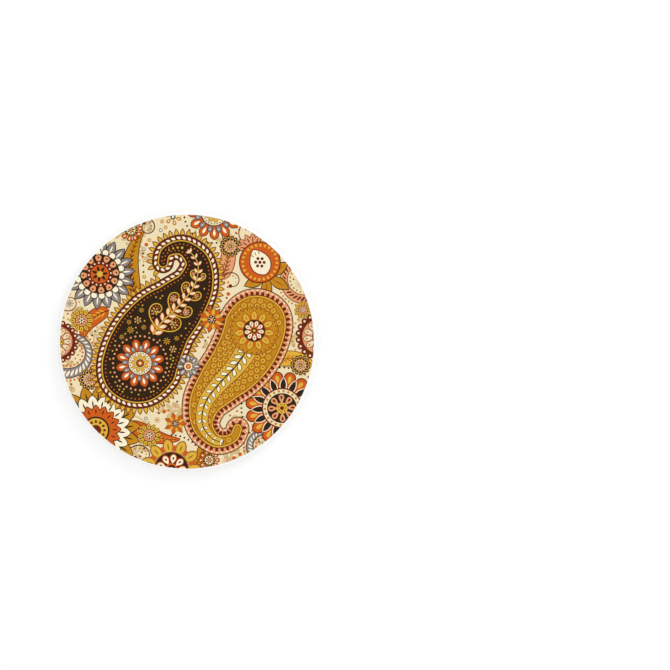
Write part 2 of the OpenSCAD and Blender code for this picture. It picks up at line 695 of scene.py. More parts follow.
@dataclass
class Board:
    """The flat that the print is laid out on, ink over ink, in millimetres from its centre."""

    RIM_POINTS = 720
    END_POINTS = 10
    ROOM_POINTS = 60
    TOUCH = 1e-5

    radius: float
    rings: RingTree
    trails: TrailTree
    laid: list[tuple[Ink, Outline]] = field(default_factory=list)
    taken: list[Outline] = field(default_factory=list)

    def lay(self, ink: Ink, *outlines: Outline) -> None:
        """Lays shapes over what is there, apart from those that lie past the rim.

        Args:
            ink: their ink.
            outlines: their outlines.
        """
        for outline in outlines:
            if np.hypot(*outline.T).min() < self.radius:
                self.laid.append((ink, leftward(outline)))

    def dot(self, ink: Ink, centre: Point, radius: float) -> None:
        """Lays a round dot."""
        self.lay(ink, disc(centre, radius))

    def stack(self, outline: Outline, *layers: tuple[float, Ink]) -> None:
        """Lays one outline again and again, each time grown by a distance and in an ink."""
        for distance, ink in layers:
            self.lay(ink, grow(outline, distance))

    def ring(self, centre: Point, row: Row, turn: float = 0.0, arc: float = 360.0) -> None:
        """Lays a row of petals.

        Args:
            centre: what they stand round.
            row: the petals, with their sizes in millimetres.
            turn: the way that the first one points, in degrees, or the middle one of an arc.
            arc: the angle that they share out, in degrees.
        """
        whole = arc == 360
        step = math.radians(arc) / (row.count if whole else max(row.count - 1, 1))
        first = math.radians(turn + row.turn * 360 / row.count) - (0 if whole else math.radians(arc) / 2)
        petal = (row.start, row.end - row.start, row.width, row.base, row.tip)
        place = {"Count": row.count, "Turn": first, "Step": step}
        shapes = self.rings.outlines(bpy.data.meshes.new("none"), petal, place)
        self.lay(row.ink, *(shape + np.array(centre) for shape in shapes))

    def rows(self, centre: Point, radius: float, rows: tuple[Row, ...], turn: float = 0.0) -> None:
        """Lays rows of petals and discs, each over the last.

        Args:
            centre: what they stand round.
            radius: what their sizes are shares of.
            rows: the rows.
            turn: the way that their first petals point, in degrees.
        """
        for row in rows:
            sized = row.scaled(radius)
            if row.count:
                self.ring(centre, sized, turn)
            else:
                self.dot(row.ink, centre, sized.end)

    def fan(self, centre: Point, line: Ink, edge: float, row: Row, veins: Row, *spread: float) -> None:
        """Lays a fan of petals with a line round them that starts at the same foot, and their veins.

        Args:
            centre: what they stand round.
            line: the line's ink.
            edge: its width.
            row: the petals, with their sizes in millimetres.
            veins: the veins on them, likewise.
            spread: the way that the middle one points and the angle that they share out, in degrees.
        """
        wider = replace(row, ink=line, end=row.end + edge, width=row.width + 2 * edge)
        for petals in (wider, row, veins):
            self.ring(centre, petals, *spread)

    def along(
        self, path: Outline, spacing: float, length: float, width: float = 0.0, closed: bool = False,
        offset: float = 0.0, start: float | None = None, lean: float = 0.0, base: float = 0.0,
        tip: float = 0.0, end_scale: float = 1.0,
    ) -> list[Outline]:
        """Draws petals or beads along a path.

        Args:
            path: the path.
            spacing: from one to the next.
            length: a petal's length.
            width: its greatest width, or 0 for a round bead.
            closed: whether the path joins up.
            offset: how far they lie to the path's right.
            start: from the path to a petal's foot, or None to centre it.
            lean: the angle from the path's course to the petal's, in degrees.
            base: how thin the foot is, from 0 for round.
            tip: how sharp the tip is, from 0 for round.
            end_scale: the size of the last one beside the first.

        Returns:
            Their outlines in order, each of which starts at its tip.
        """
        foot = -length / 2 if start is None else start
        ends = 0 if closed else 1
        place = dict(zip(TrailTree.PLACE, (spacing, ends, offset, math.radians(lean), end_scale)))
        line = line_mesh([(x, y, 0.0) for x, y in path], closed)
        return self.trails.outlines(line, (foot, length, width, base, tip), place)

    def trail(self, ink: Ink, *place: Any, **form: Any) -> None:
        """Lays petals or beads of one ink along a path, as along draws them."""
        self.lay(ink, *self.along(*place, **form))

    def stroke(self, ink: Ink, path: Outline, width: float, end_width: float) -> None:
        """Lays a tapered line with round ends along a path.

        Args:
            ink: its ink.
            path: the path.
            width: its width where the path starts.
            end_width: its width where the path ends.
        """
        half = np.linspace(width, end_width, len(path)) / 2
        places = ((path[0], width / 2), (path[-1], end_width / 2))
        self.lay(ink, sweep(path, half), *(disc(*place, self.END_POINTS) for place in places))

    def take(self, *outlines: Outline) -> None:
        """Marks places that the small fillers stay out of."""
        self.taken.extend(outlines)

    def patch(self) -> "Board":
        """Returns an empty board for shapes that paste lays here."""
        return Board(self.radius, self.rings, self.trails)

    def paste(self, other: "Board") -> None:
        """Lays all the shapes of another board over what is here."""
        self.laid.extend(other.laid)

    def merge(self) -> tuple[Outline, np.ndarray, list[Ink]]:
        """Merges all that is laid into triangles that don't overlap.

        Returns:
            The points, the triangles as three indices each, and each triangle's ink, that of the
            shape laid last.
        """
        rim = disc((0.0, 0.0), self.radius, self.RIM_POINTS)
        shapes = [rim, *(outline for _, outline in self.laid)]
        ends = np.cumsum([len(shape) for shape in shapes])
        faces = [list(range(end - len(shape), end)) for shape, end in zip(shapes, ends)]
        points = [Vector(point) for point in np.vstack(shapes)]
        merged = delaunay_2d_cdt(points, [], faces, 1, self.TOUCH, True)
        inks = [CREAM, *(ink for ink, _ in self.laid)]
        kept = [(face, inks[max(over)]) for face, over in zip(merged[2], merged[5]) if 0 in over]
        used, faces = np.unique([face for face, _ in kept], return_inverse=True)
        return np.array(merged[0])[used], faces.reshape(-1, 3), [ink for _, ink in kept]


SUN_WHEEL = (
    *lined(MAROON, Row(ORANGE, 0.44, 0.95, 0.27, 15, 0.8, 0.05), 0.03),
    Row(MUSTARD, 0.66, 0.87, 0.10, 15, 0.5, 0.05),
    *lined(IVORY, Row(BARK, 0.38, 0.80, 0.15, 15, 0.6, 0.5, 0.5), 0.022),
    plate(MAROON, 0.535),
    plate(CREAM, 0.50),
    beads(OCHRE, 0.45, 0.07, 22),
    plate(BARK, 0.395),
    Row(SALMON, 0.10, 0.365, 0.15, 8, 0.9),
    Row(MAROON, 0.22, 0.33, 0.06, 8, 0.5),
    plate(MUSTARD, 0.15),
    beads(BARK, 0.10, 0.035, 7),
    plate(MAROON, 0.055),
)
GREY_WHEEL = (
    *lined(BARK, Row(GREY, 0.46, 0.96, 0.22, 18, 0.5, 0.5), 0.028),
    Row(IVORY, 0.62, 0.86, 0.045, 18, 0.3, 0.5),
    *lined(BARK, Row(IVORY, 0.42, 0.68, 0.16, 18, 0.9, 0.0, 0.5), 0.024),
    plate(BARK, 0.545),
    Row(SALMON, 0.30, 0.52, 0.17, 12, 0.8),
    beads(MAROON, 0.455, 0.055, 12),
    plate(MAROON, 0.36),
    beads(IVORY, 0.305, 0.045, 16),
    plate(ORANGE, 0.25),
    Row(BARK, 0.05, 0.225, 0.075, 7, 0.4, 0.4),
    plate(MUSTARD, 0.085),
)
LACE_WHEEL = (
    *lined(MAROON, Row(MAROON, 0.55, 0.97, 0.24, 20, 0.5), 0.02),
    beads(CREAM, 0.87, 0.095, 20),
    plate(MAROON, 0.76),
    plate(SALMON, 0.70),
    *lined(MAROON, Row(CREAM, 0.26, 0.665, 0.20, 12, 0.8, 0.3), 0.026),
    Row(OCHRE, 0.46, 0.60, 0.075, 12, 0.4, 0.3),
    plate(MAROON, 0.31),
    plate(MUSTARD, 0.275),
    beads(BARK, 0.20, 0.075, 9),
    plate(BARK, 0.11),
    plate(IVORY, 0.07),
)
LOTUS_WHEEL = (
    *lined(MAROON, Row(ORANGE, 0.40, 0.97, 0.30, 12, 0.9, 0.25), 0.03),
    Row(IVORY, 0.60, 0.86, 0.10, 12, 0.6, 0.3),
    *lined(BARK, Row(GREY, 0.34, 0.72, 0.16, 12, 0.9, 0.0, 0.5), 0.022),
    beads(IVORY, 0.62, 0.05, 12, 0.5),
    plate(MAROON, 0.50),
    plate(CREAM, 0.46),
    beads(BARK, 0.405, 0.05, 24),
    *lined(BROWN, Row(MUSTARD, 0.12, 0.345, 0.13, 9, 0.7, 0.1), 0.02),
    plate(BARK, 0.16),
    plate(ORANGE, 0.12),
    plate(IVORY, 0.05),
)
SHIELD_WHEEL = (
    *lined(BROWN, Row(MUSTARD, 0.40, 0.96, 0.28, 11, 0.8, 0.3), 0.035),
    Row(BROWN, 0.62, 0.84, 0.04, 11, 0.2, 0.3),
    Row(ORANGE, 0.50, 0.78, 0.12, 11, 0.8, 0.0, 0.5),
    plate(BROWN, 0.56),
    plate(BARK, 0.53),
    *lined(ORANGE, Row(IVORY, 0.18, 0.47, 0.17, 9, 0.7, 0.2), 0.03),
    Row(MAROON, 0.30, 0.40, 0.06, 9, 0.3, 0.1),
    plate(ORANGE, 0.20),
    plate(BARK, 0.14),
    plate(MUSTARD, 0.07),
)
HARVEST_WHEEL = (
    *lined(BARK, Row(MUSTARD, 0.38, 0.95, 0.30, 12, 0.6, 0.35), 0.04),
    Row(MAROON, 0.60, 0.84, 0.07, 12, 0.3, 0.4),
    plate(BARK, 0.52),
    plate(SALMON, 0.47),
    beads(MAROON, 0.375, 0.09, 12),
    plate(MAROON, 0.28),
    Row(IVORY, 0.05, 0.25, 0.11, 6, 0.5, 0.1),
)
EMBER_WHEEL = (
    *lined(MAROON, Row(ORANGE, 0.40, 0.94, 0.36, 10, 0.8), 0.045),
    Row(IVORY, 0.62, 0.84, 0.12, 10, 0.5),
    plate(BARK, 0.56),
    beads(MUSTARD, 0.47, 0.10, 14),
    plate(CREAM, 0.38),
    Row(MAROON, 0.06, 0.34, 0.13, 7, 0.5, 0.2),
    plate(OCHRE, 0.12),
)
NIGHT_WHEEL = (
    *lined(OCHRE, Row(BARK, 0.40, 0.92, 0.27, 14, 0.8), 0.05),
    beads(IVORY, 0.76, 0.10, 14),
    plate(OCHRE, 0.54),
    plate(CREAM, 0.48),
    *lined(BARK, Row(SALMON, 0.14, 0.44, 0.17, 9, 0.7, 0.1), 0.03),
    plate(BARK, 0.17),
    plate(MUSTARD, 0.10),
)
STAR_FLOWER = (
    Row(BROWN, 0.10, 1.0, 0.42, 7, 0.5, 0.6),
    Row(ORANGE, 0.16, 0.90, 0.30, 7, 0.5, 0.6),
    Row(MUSTARD, 0.20, 0.74, 0.22, 7, 0.6, 0.1, 0.5),
    plate(BARK, 0.30),
    beads(IVORY, 0.21, 0.08, 7),
    plate(SALMON, 0.12),
)
SALMON_FLOWER = (
    Row(SALMON, 0.22, 1.0, 0.44, 8, 0.7),
    Row(MAROON, 0.46, 0.84, 0.09, 8, 0.2, 0.6),
    plate(MAROON, 0.36),
    Row(IVORY, 0.06, 0.31, 0.14, 6, 0.6),
    plate(OCHRE, 0.12),
)
DUSK_FLOWER = (
    *lined(BARK, Row(GREY, 0.24, 0.95, 0.42, 8, 0.8, 0.1), 0.05),
    Row(IVORY, 0.50, 0.84, 0.10, 8, 0.4, 0.2),
    plate(BARK, 0.40),
    plate(IVORY, 0.34),
    plate(ORANGE, 0.24),
    plate(MUSTARD, 0.10),
)
DARK_DAISY = (
    Row(BARK, 0.18, 0.86, 0.34, 8, 0.9),
    beads(MUSTARD, 0.90, 0.16, 8, 0.5),
    Row(SALMON, 0.50, 0.74, 0.12, 8, 0.4),
    plate(IVORY, 0.28),
    plate(MAROON, 0.15),
)
MAROON_DAISY = (
    Row(MAROON, 0.20, 1.0, 0.36, 9, 0.8, 0.2),
    Row(ORANGE, 0.50, 0.86, 0.12, 9, 0.5, 0.2),
    plate(CREAM, 0.32),
    plate(BARK, 0.14),
)
GREY_DAISY = (
    Row(GREY, 0.26, 1.0, 0.38, 8, 0.7, 0.2),
    Row(CREAM, 0.52, 0.84, 0.14, 8, 0.6, 0.2),
    plate(MAROON, 0.30),
    plate(SALMON, 0.18),
)
OCHRE_DAISY = (
    Row(OCHRE, 0.24, 1.0, 0.46, 6, 0.7),
    Row(IVORY, 0.50, 0.84, 0.12, 6, 0.4),
    plate(BARK, 0.30),
    plate(IVORY, 0.15),
)
SPARK = (
    Row(ORANGE, 0.34, 0.82, 0.14, 10, 0.3, 0.3),
    beads(MAROON, 0.93, 0.14, 10, 0.5),
    plate(ORANGE, 0.20),
)
NIGHT_SPARK = (
    Row(MUSTARD, 0.30, 1.0, 0.22, 8, 0.2, 0.4),
    plate(ORANGE, 0.26),
)
MUSTARD_DOT = (plate(MUSTARD, 1.0),)
MAROON_DOT = (plate(MAROON, 1.0),)
ORANGE_DOT = (plate(ORANGE, 1.0),)
OCHRE_RING = (plate(OCHRE, 1.0), plate(CREAM, 0.45))
GREY_RING = (plate(GREY, 1.0), plate(IVORY, 0.5))


class Motif:
    """Something that lays itself on the board and marks the place that it takes."""

    def ground(self, board: Board) -> None:
        """Lays what goes under every other motif: nothing, for most."""

    def lay(self, board: Board) -> None:
        """Lays the motif."""
        raise NotImplementedError


@dataclass(frozen=True)
class Rosette(Motif):
    """A flower of rows round a centre, some with a halo of beads round it."""

    centre: Point
    radius: float
    rows: tuple[Row, ...]
    turn: float = 0.0
    halo: Ink | None = None
    halo_gap: float = 0.7
    halo_bead: float = 0.8
    halo_beads_per_mm: int = 4

    def reach(self) -> float:
        """Returns how far the flower reaches from its centre, with its halo."""
        return self.radius + (self.halo_gap + self.halo_bead if self.halo else 0)

    def ground(self, board: Board) -> None:
        """Lays the halo, if there is one.

        Args:
            board: the board.
        """
        if self.halo:
            start = self.radius + self.halo_gap
            count = int(self.radius * self.halo_beads_per_mm)
            board.ring(self.centre, Row(self.halo, start, self.reach(), self.halo_bead, count))

    def lay(self, board: Board) -> None:
        """Lays the rows, each over the last, and marks the place of the flower and its halo."""
        board.rows(self.centre, self.radius, self.rows, self.turn)
        board.take(disc(self.centre, self.reach(), board.ROOM_POINTS))


@dataclass(frozen=True)
class Spray(Motif):
    """A stem with leaves in pairs and one at its end, each leaf in two inks."""

    path: Outline
    stem: Ink
    line: Ink
    leaf: Ink
    length: float
    width: float
    spacing: float
    end_scale: float
    lean: float = 42.0
    edge: float = 0.34
    stem_width: float = 0.5
    stem_end: float = 0.3
    room: float = 0.85

    def lay(self, board: Board) -> None:
        """Lays the stem and the leaves.

        Args:
            board: the board.
        """
        reach = np.linspace(1.0, self.end_scale, len(self.path)) * self.length * self.room
        board.take(sweep(self.path, reach))
        board.stroke(self.stem, self.path, self.stem_width, self.stem_end)
        form = {"base": 0.6, "tip": 0.5}
        _, turn = heading(self.path, 1.0)
        for ink, edge in ((self.line, self.edge), (self.leaf, 0.0)):
            size, wide = self.length + 2 * edge, self.width + 2 * edge
            foot = self.stem_width - edge
            for lean in (-self.lean, self.lean):
                place = {"start": foot, "lean": lean, "end_scale": self.end_scale}
                board.trail(ink, self.path, self.spacing, size, wide, **place, **form)
            size, wide = self.length * self.end_scale + edge, self.width * self.end_scale + 2 * edge
            board.ring(self.path[-1], Row(ink, -edge, size, wide, 1, **form), turn)


@dataclass(frozen=True)
class Drop(Motif):
    """A curled drop: a round head, and a body that tapers along a spine to a small round tip."""

    HEAD_STEPS = 22
    BODY_STEPS = 90
    TIP_STEPS = 8

    knots: tuple[Point, ...]
    head: float
    tip: float
    fullness: float = 1.1
    bloom: float = 7.8
    bloom_place: float = 0.18

    @cached_property
    def spine(self) -> Outline:
        """The line that the drop is swept along, from its head to its tip."""
        return smooth(self.knots)

    @cached_property
    def middle(self) -> Point:
        """The centre of the flower in the drop's head."""
        return self.spine[int(len(self.spine) * self.bloom_place)]

    @cached_property
    def outline(self) -> Outline:
        """The drop's outline: a half width at each distance along the spine, set off to both sides.

        Returns:
            The outline, from the head's middle down one side and back up the other.
        """
        head, tip, spine = self.head, self.tip, self.spine
        run = distances(spine)
        length = run[-1]
        round_head = head * (1 - np.cos(np.linspace(0, math.pi / 2, self.HEAD_STEPS)))
        body = np.linspace(head, length - tip, self.BODY_STEPS)[1:]
        round_tip = length - tip + tip * np.sin(np.linspace(0, math.pi / 2, self.TIP_STEPS))[1:]
        along = np.concatenate([round_head, body, round_tip])
        share = np.clip((body - head) / (length - tip - head), 0, 1) ** self.fullness
        half = np.concatenate([
            np.sqrt(np.maximum(head**2 - (head - round_head) ** 2, 0)),
            tip + (head - tip) * (0.5 + 0.5 * np.cos(math.pi * share)),
            np.sqrt(np.maximum(tip**2 - (round_tip - length + tip) ** 2, 0)),
        ])
        path = read_at(along, run, spine)
        out = read_at(along, run, normals(spine)) * half[:, None]
        return np.vstack([path + out, (path - out)[-2:0:-1]])


@dataclass(frozen=True)
class NightDrop(Drop):
    """A dark drop in a maroon band of ivory petals, with flames round it and scrolls in its body."""

    bloom: float = 9.5
    bloom_place: float = 0.185
    band: float = 2.75
    line: float = 0.3
    reach: float = 5.2
    flame_spacing: float = 2.15
    scroll_places: tuple[float, ...] = (0.37, 0.47, 0.57, 0.66)
    scroll_length: float = 18.5
    scroll_turn: float = 370.0
    scroll_lean: float = 72.0
    scroll_shrink: float = 0.19

    def lay(self, board: Board) -> None:
        """Lays the flames, the band, the body and what grows in it.

        Args:
            board: the board.
        """
        outline = self.outline
        self.flames(board)
        board.stack(outline, (self.band, BARK), (self.band - self.line, MAROON))
        petals = {"length": 1.75, "width": 1.0, "lean": -28, "base": 0.2, "tip": 0.5}
        board.trail(IVORY, edged(outline, 1.45), spacing=2.1, closed=True, **petals)
        board.stack(outline, (0.5, MUSTARD), (0.1, BARK))
        board.trail(ORANGE, edged(outline, -1.0), spacing=1.5, length=0.62, closed=True)
        board.take(grow(outline, self.reach))
        body = board.patch()
        self.scrolls(body)
        leaves = {"length": 3.2, "width": 1.3, "spacing": 2.9, "end_scale": 0.5}
        Spray(trim(self.spine, 0.33, 0.80), MUSTARD, ORANGE, CREAM, **leaves).lay(body)
        room = trim(self.spine, 0.33, 0.83)
        middle = self.middle
        body.take(sweep(room, np.linspace(2.9, 1.7, len(room))))
        body.take(disc(middle, self.bloom + 1.4, board.ROOM_POINTS))
        body.ring(middle, Row(SALMON, self.bloom + 0.5, self.bloom + 1.3, width=0.8, count=36))
        Rosette(middle, self.bloom, LOTUS_WHEEL, turn=12.0).lay(body)
        body.trail(MUSTARD, trim(self.spine, 0.85, 0.91), spacing=1.5, length=1.0, end_scale=0.65)
        kinds = (
            (1.5, (SALMON_FLOWER, NIGHT_SPARK, OCHRE_DAISY)),
            (1.05, (NIGHT_SPARK,)),
            (0.32, (MUSTARD_DOT,)),
        )
        Fillers(seed=11, sizes=kinds, gap=0.38, room=edged(outline, -1.5)).lay(body)
        board.paste(body)

    def flames(self, board: Board) -> None:
        """Lays the flames, apart from those that would run into the drop's other side.

        Args:
            board: the board.
        """
        form = {"closed": True, "start": -0.6, "lean": -90, "base": 0.1, "tip": 0.5}
        edge = edged(self.outline, 2.5)
        glow = board.along(edge, self.flame_spacing, length=3.3, width=2.0, **form)
        fire = board.along(edge, self.flame_spacing, length=2.7, width=1.25, **form)
        clear = ~inside(np.array([shape[0] for shape in glow]), grow(self.outline, 3.9))
        for ink, shapes in ((BROWN, glow), (MUSTARD, fire)):
            board.lay(ink, *(shape for shape, kept in zip(shapes, clear) if kept))

    def scrolls(self, board: Board) -> None:
        """Lays curls in pairs along the body, each with a flower in it.

        Args:
            board: the body's own board.
        """
        for number, share in enumerate(self.scroll_places):
            start, course = heading(self.spine, share)
            size = 1 - self.scroll_shrink * number
            flower = SALMON_FLOWER if number % 2 else OCHRE_DAISY
            for side in (-1, 1):
                way, turn = course + side * self.scroll_lean, side * -self.scroll_turn
                path = curl(start, way, self.scroll_length * size, turn, tighten=2.3)
                board.stroke(MUSTARD, path, width=0.48, end_width=0.36)
                dots = {"length": 0.7, "offset": side * 0.95, "end_scale": 0.7}
                board.trail(ORANGE, trim(path, 0.25, 0.9), spacing=1.6, **dots)
                Rosette(path[-1], 1.6 * size, flower, course).lay(board)
                board.take(sweep(path, np.full(len(path), 1.5)))


@dataclass(frozen=True)
class GoldDrop(Drop):
    """An ochre drop of overlapping scales, in a salmon border of maroon teeth."""

    scale: float = 2.5
    scale_inset: float = 0.62
    scale_rise: float = 0.72
    most_scales: int = 13
    border: float = 3.1
    spacing: float = 1.95
    reach: float = 3.4

    def lay(self, board: Board) -> None:
        """Lays the border, the scales, the vine and the flower in the head.

        Args:
            board: the board.
        """
        outline = self.outline
        board.stack(outline, (self.border, BARK), (self.border - 0.35, SALMON))
        teeth = {"length": 1.75, "width": 1.35, "start": 0.0, "lean": -90, "tip": 0.3}
        board.trail(MAROON, edged(outline, 0.3), self.spacing, closed=True, **teeth)
        board.trail(IVORY, edged(outline, 2.15), self.spacing, length=0.62, closed=True)
        board.stack(outline, (0.55, MAROON), (0.2, MUSTARD), (-0.35, BROWN), (-0.6, OCHRE))
        board.take(grow(outline, self.reach))
        self.scales(board, grow(outline, -self.scale * self.scale_inset))
        self.vine(board)
        middle = self.middle
        board.dot(BROWN, middle, self.bloom + 1.5)
        board.dot(OCHRE, middle, self.bloom + 1.2)
        board.ring(middle, Row(MAROON, self.bloom + 0.4, self.bloom + 0.95, width=0.55, count=30))
        Rosette(middle, self.bloom, SHIELD_WHEEL, turn=-8.0).lay(board)

    def scales(self, board: Board, room: Outline) -> None:
        """Lays rows of scales across the spine, from the tip to the head.

        Args:
            board: the board.
            room: the outline that their centres keep inside.
        """
        rings = ((BROWN, 0.60), (OCHRE, 0.52), (MUSTARD, 0.31), (MAROON, 0.13))
        spine = self.spine
        sides = normals(spine)
        rows = int(distances(spine)[-1] / (self.scale * self.scale_rise))
        for row in range(rows, 0, -1):
            place = int(row / rows * (len(spine) - 1))
            offsets = (np.arange(self.most_scales) - self.most_scales // 2 + (row % 2) / 2) * self.scale
            spots = spine[place] + sides[place] * offsets[:, None]
            for spot in spots[inside(spots, room)]:
                for ink, share in rings:
                    board.dot(ink, spot, self.scale * share)

    def vine(self, board: Board) -> None:
        """Lays the band along the body's middle and the leaves on it.

        Args:
            board: the board.
        """
        vine = trim(self.spine, 0.2, 0.86)
        half = np.linspace(4.4, 1.5, len(vine))
        for ink, edge in ((BROWN, 0.3), (MUSTARD, 0.0)):
            board.lay(ink, sweep(vine, half + edge))
            board.dot(ink, vine[-1], half[-1] + edge)
        board.trail(MAROON, trim(vine, 0.2), spacing=1.5, length=0.5, offset=3.1, end_scale=0.7)
        leaves = {"length": 3.3, "width": 1.5, "spacing": 2.9, "end_scale": 0.42, "lean": 48.0}
        Spray(vine, BARK, BARK, IVORY, **leaves).lay(board)


@dataclass(frozen=True)
class Plume(Motif):
    """A long curved leaf, widest near its foot, with slanting barbs on both sides of its rib."""

    path: Outline
    width: float
    body: Ink = OCHRE
    line: Ink = BARK
    barb: Ink = MAROON
    edge: float = 0.34
    barb_size: float = 0.42
    barb_lean: float = 34.0

    def lay(self, board: Board) -> None:
        """Lays the leaf, its barbs and its rib.

        Args:
            board: the board.
        """
        share = np.linspace(0, 1, len(self.path))
        half = self.width / 2 * np.sin(math.pi * share**0.62) ** 0.8
        for ink, edge in ((self.line, self.edge), (self.body, 0.0)):
            board.lay(ink, sweep(self.path, half + edge))
        rib = trim(self.path, 0.08, 0.86)
        size = self.width * self.barb_size
        form = {"width": size * 0.26, "start": 0.35, "base": 0.3, "tip": 0.5, "end_scale": 0.42}
        for lean in (-self.barb_lean, self.barb_lean):
            board.trail(self.barb, rib, spacing=size * 0.72, length=size, lean=lean, **form)
        board.stroke(self.line, trim(self.path, 0.0, 0.93), width=0.42, end_width=0.2)
        board.take(sweep(self.path, half + 0.8))


@dataclass(frozen=True)
class Ribbon(Motif):
    """A tapered ribbon set with slanting petals, with a dotted fringe and a curled end."""

    path: Outline
    width: float
    end_width: float
    body: Ink = GREY
    line: Ink = BARK
    petal: Ink = IVORY
    fringe: Ink = ORANGE
    edge: float = 0.32

    def lay(self, board: Board) -> None:
        """Lays the fringe, the ribbon and its petals.

        Args:
            board: the board.
        """
        half = np.linspace(self.width, self.end_width, len(self.path)) / 2
        outline = leftward(sweep(self.path, half))
        board.trail(self.fringe, edged(outline, 1.15), spacing=1.5, length=0.85, closed=True)
        for ink, edge in ((self.line, self.edge), (self.body, 0.0)):
            board.lay(ink, sweep(self.path, half + edge))
            board.dot(ink, self.path[-1], self.end_width * 0.8 + edge)
            board.dot(ink, self.path[0], self.width / 2 + edge)
        size = self.width * 0.82
        form = {"width": size * 0.34, "lean": 52, "tip": 0.3, "end_scale": self.end_width / self.width}
        board.trail(self.petal, self.path, spacing=self.width * 0.46, length=size, **form)
        board.dot(self.line, self.path[-1], self.end_width * 0.36)
        board.take(grow(outline, 1.6))


@dataclass(frozen=True)
class Fruit(Motif):
    """A pomegranate, with its crown, a window of seeds and leaves at its foot.

    Its rows are in shares of its radius, and the leaves and the sepals each come with their veins.
    """

    LEAVES = (Row(OCHRE, 0.0, 1.25, 0.5, 4, 0.7, 0.6), Row(BROWN, 0.3, 1.0, 0.05, 4, 0.2, 0.3))
    LEAF_ARC = 190.0
    SEPALS = (Row(SALMON, 0.0, 0.85, 0.3, 5, 0.4, 0.5), Row(MAROON, 0.35, 0.68, 0.06, 5, 0.2, 0.2))
    SEPAL_ARC = 104.0
    RIND = Row(MUSTARD, 0.78, 0.94, 0.13, 24, 0.3)
    WINDOW = Row(IVORY, -0.66, 0.70, 0.98, 1, 0.15, 0.35)
    SEEDS = (beads(MAROON, 0.0, 0.17, 1), beads(MAROON, 0.215, 0.16, 6))
    MARKS = Row(BROWN, 0.38, 0.58, 0.05, 3, 0.2, 0.2)
    MARK_ARC = 44.0

    centre: Point
    radius: float
    tilt: float
    crown_place: float = 0.72
    foot_place: float = 0.8
    edge: float = 0.4
    sepal_edge: float = 0.35
    body_edge: float = 0.45

    def lay(self, board: Board) -> None:
        """Lays the leaves, the crown, the body, and the window with its seeds.

        Args:
            board: the board.
        """
        r, centre, tilt = self.radius, self.centre, self.tilt
        way = np.array([math.cos(math.radians(tilt)), math.sin(math.radians(tilt))])
        crown = np.array(centre) + way * r * self.crown_place
        foot = np.array(centre) - way * r * self.foot_place
        leaves, sepals = [[row.scaled(r) for row in rows] for rows in (self.LEAVES, self.SEPALS)]
        board.fan(foot, BARK, self.edge, *leaves, tilt + 180, self.LEAF_ARC)
        board.fan(crown, MAROON, self.sepal_edge, *sepals, tilt, self.SEPAL_ARC)
        board.dot(MAROON, centre, r + self.body_edge)
        board.dot(ORANGE, centre, r)
        board.ring(centre, self.RIND.scaled(r), tilt)
        for row in lined(MAROON, self.WINDOW.scaled(r), self.edge):
            board.ring(centre, row, tilt)
        board.rows(centre, r, self.SEEDS, tilt)
        board.ring(centre, self.MARKS.scaled(r), tilt, self.MARK_ARC)
        board.take(disc(centre, r * 1.15), disc(crown, r * 0.9), disc(foot, r * 1.15))


@dataclass(frozen=True)
class Lotus(Motif):
    """A lotus: fans of petals, one on another, over a beaded base.

    Each fan has the ink of its lines, its petals in shares of the radius, and its arc in degrees.
    """

    FANS = (
        (BARK, Row(OCHRE, 0.0, 1.0, 0.32, 11, 0.8, 0.35), 200.0),
        (BARK, Row(IVORY, 0.0, 0.78, 0.24, 10, 0.8, 0.15), 182.0),
        (MAROON, Row(ORANGE, 0.0, 0.56, 0.19, 9, 0.8, 0.3), 176.0),
    )
    HEART = (plate(BARK, 0.31), plate(MUSTARD, 0.27), Row(MAROON, 0.16, 0.23, 0.06, 12), plate(MAROON, 0.12))

    centre: Point
    radius: float
    tilt: float
    edge: float = 0.35
    vein_start: float = 0.66
    vein_end: float = 0.86
    vein_width: float = 0.035

    def lay(self, board: Board) -> None:
        """Lays the fans from the largest to the smallest, and then the base.

        Args:
            board: the board.
        """
        r, centre, tilt = self.radius, self.centre, self.tilt
        for line, row, arc in self.FANS:
            petals = row.scaled(r)
            start, end = petals.end * self.vein_start, petals.end * self.vein_end
            veins = Row(line, start, end, r * self.vein_width, row.count, 0.2, 0.3)
            board.fan(centre, line, self.edge, petals, veins, tilt, arc)
        board.rows(centre, r, self.HEART)
        board.take(disc(centre, r * 1.02))


@dataclass(frozen=True)
class Tendril(Motif):
    """A thin curl with beads beside it and a bud at its end."""

    path: Outline
    ink: Ink = BROWN
    bead: Ink = ORANGE
    width: float = 0.5
    reach: float = 1.4

    def lay(self, board: Board) -> None:
        """Lays the curl, its beads and its bud.

        Args:
            board: the board.
        """
        board.stroke(self.ink, self.path, self.width, end_width=self.width * 0.7)
        run = trim(self.path, 0.1, 0.75)
        board.trail(self.bead, run, spacing=1.9, length=self.width * 1.7, offset=1.15, end_scale=0.6)
        board.dot(self.ink, self.path[-1], self.width * 1.5)
        board.take(sweep(self.path, np.full(len(self.path), self.reach)))


@dataclass(frozen=True)
class PaleScroll(Motif):
    """A pale scroll of the ground: a curl with leaves, in one ink that barely shows."""

    path: Outline
    ink: Ink = TAN

    def lay(self, board: Board) -> None:
        """Lays the curl and its leaves, and leaves the place free for fillers.

        Args:
            board: the board.
        """
        ground = board.patch()
        ground.stroke(self.ink, self.path, width=1.1, end_width=0.6)
        inks = (self.ink,) * 3
        leaves = {"length": 4.2, "width": 2.0, "spacing": 3.1, "end_scale": 0.5, "lean": 48.0}
        Spray(trim(self.path, 0.0, 0.7), *inks, **leaves, edge=0.0).lay(ground)
        ground.dot(self.ink, self.path[-1], 1.3)
        board.paste(ground)


